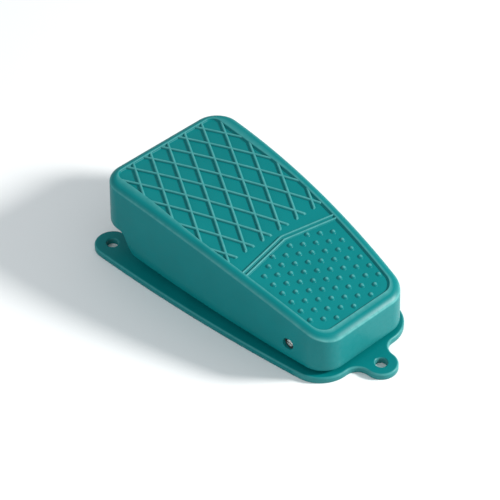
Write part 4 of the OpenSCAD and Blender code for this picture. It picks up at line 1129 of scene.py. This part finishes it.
class FOOT_OT_spring(bpy.types.Operator):
    """Wind the return spring at its rest length; it is not made to shorten as the pedal goes down"""
    bl_idname = "foot_switch.spring"
    bl_label = "Return spring"

    def execute(self, context):
        s = settings("spring")
        low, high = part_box("return_spring")
        centre = centre_of((low, high))
        r, wire = (high[0] - low[0] - s.wire_d) / 2, s.wire_d / 2
        pitch = s.wire_d + s.end_gap
        span = high[2] - low[2] - s.wire_d - 2 * pitch
        section = arc((0, 0), wire, 0, 2 * math.pi * WIRE_STEPS / (WIRE_STEPS + 1), WIRE_STEPS)
        rings = []
        for i in range(round(s.turns * TURN_STEPS) + 1):
            turn = i / TURN_STEPS
            z = low[2] + wire + pitch * (min(turn, 1) + max(0, turn - s.turns + 1))
            z += span * max(0, min(1, (turn - 1) / (s.turns - 2)))
            way = (math.cos(2 * math.pi * turn), math.sin(2 * math.pi * turn))
            rings.append([(*step_on(centre, way, r + across), z + up) for across, up in section])
        obj = solid(rings, "spring", sharp=50)
        obj.data.materials.append(finish_of("bright_steel"))
        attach(obj, "base")
        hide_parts("return_spring")
        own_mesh(obj)
        return {"FINISHED"}


class FOOT_OT_fittings(bpy.types.Operator):
    """Give the pin, switch, gland and screws their finishes"""
    bl_idname = "foot_switch.fittings"
    bl_label = "Fittings"

    def execute(self, context):
        for finish, nodes in NODES_OF_FINISH.items():
            for node in nodes:
                mesh = frame["nodes"][node].data
                mesh.materials.clear()
                mesh.materials.append(finish_of(finish))
                mesh.polygons.foreach_set("material_index", [0] * len(mesh.polygons))
        return {"FINISHED"}


def aimed(name, data, place, aim):
    """A lamp or camera at a place, turned to what it is aimed at."""
    obj = bpy.data.objects.new(name, data)
    obj.location = place
    obj.rotation_euler = (Vector(aim) - Vector(place)).to_track_quat("-Z", "Y").to_euler()
    bpy.context.scene.collection.objects.link(obj)
    return obj


def add_lamp(name, power, place, size, tint):
    """A round lamp aimed at the middle of the object."""
    lamp = bpy.data.lights.new(name, "AREA")
    lamp.shape, lamp.size, lamp.energy, lamp.color = "DISK", size, power, tint
    aimed(name, lamp, place, aim=(0, 0, 0.03))


class FOOT_OT_stage(bpy.types.Operator):
    """Set up the floor, the lights and the camera"""
    bl_idname = "foot_switch.stage"
    bl_label = "Stage"

    def execute(self, context):
        s, f = settings("stage"), settings("finish")
        bm = bmesh.new()
        bmesh.ops.create_grid(bm, x_segments=2, y_segments=2, size=4)
        floor = to_object(bm, "floor")
        mat, tree, shader, place = start_material("pale_floor")
        plug(tree, shader, {"Base Color": (*f.floor, 1), "Roughness": 0.9})
        floor.data.materials.append(mat)

        add_lamp("key", s.key_power, place=(0.9, -0.9, 0.74), size=0.3, tint=(1, 0.99, 0.97))
        add_lamp("fill", s.fill_power, place=(-1.0, 0.2, 0.7), size=0.9, tint=(0.78, 0.92, 1))
        world = bpy.data.worlds.new("studio")
        world.use_nodes = True
        sky = world.node_tree.nodes["Background"]
        plug(world.node_tree, sky, {"Color": (0.94, 0.98, 1, 1), "Strength": s.sky})
        context.scene.world = world

        data = bpy.data.cameras.new("camera")
        data.lens, data.sensor_width = s.lens, 36
        context.scene.camera = aimed("camera", data, s.eye, s.aim)
        context.scene.view_settings.view_transform = "Standard"
        return {"FINISHED"}


class FOOT_PT_sidebar(bpy.types.Panel):
    """Foot switch"""
    bl_idname = "FOOT_PT_sidebar"
    bl_label = "Foot Switch"
    bl_space_type = "VIEW_3D"
    bl_region_type = "UI"
    bl_category = "Foot Switch"

    def draw(self, context):
        for name, step in PANEL_ROWS:
            box = self.layout.box()
            box.label(text=name.capitalize())
            group = settings(name)
            for key in type(group).__annotations__:
                box.prop(group, key)
            if step:
                box.operator(step)


GROUPS = {"pedal": PedalSizes, "tread": TreadSizes, "base": BaseSizes, "spring": SpringSizes,
          "finish": Finishes, "stage": StageSetup}
OPERATORS = (FOOT_OT_pedal, FOOT_OT_base, FOOT_OT_spring, FOOT_OT_fittings, FOOT_OT_stage)
PANEL_ROWS = (("pedal", ""), ("tread", "foot_switch.pedal"), ("base", "foot_switch.base"),
              ("spring", "foot_switch.spring"), ("finish", "foot_switch.fittings"),
              ("stage", "foot_switch.stage"))


def register():
    for item in (*GROUPS.values(), *OPERATORS, FOOT_PT_sidebar):
        bpy.utils.register_class(item)
    for name, group in GROUPS.items():
        setattr(bpy.types.Scene, "foot_" + name, PointerProperty(type=group))


def unregister():
    for name in GROUPS:
        delattr(bpy.types.Scene, "foot_" + name)
    for item in (FOOT_PT_sidebar, *reversed(OPERATORS), *reversed(list(GROUPS.values()))):
        bpy.utils.unregister_class(item)


def main():
    register()
    bpy.ops.foot_switch.pedal()
    bpy.ops.foot_switch.base()
    bpy.ops.foot_switch.spring()
    bpy.ops.foot_switch.fittings()
    bpy.ops.foot_switch.stage()


if __name__ == "__main__":
    main()
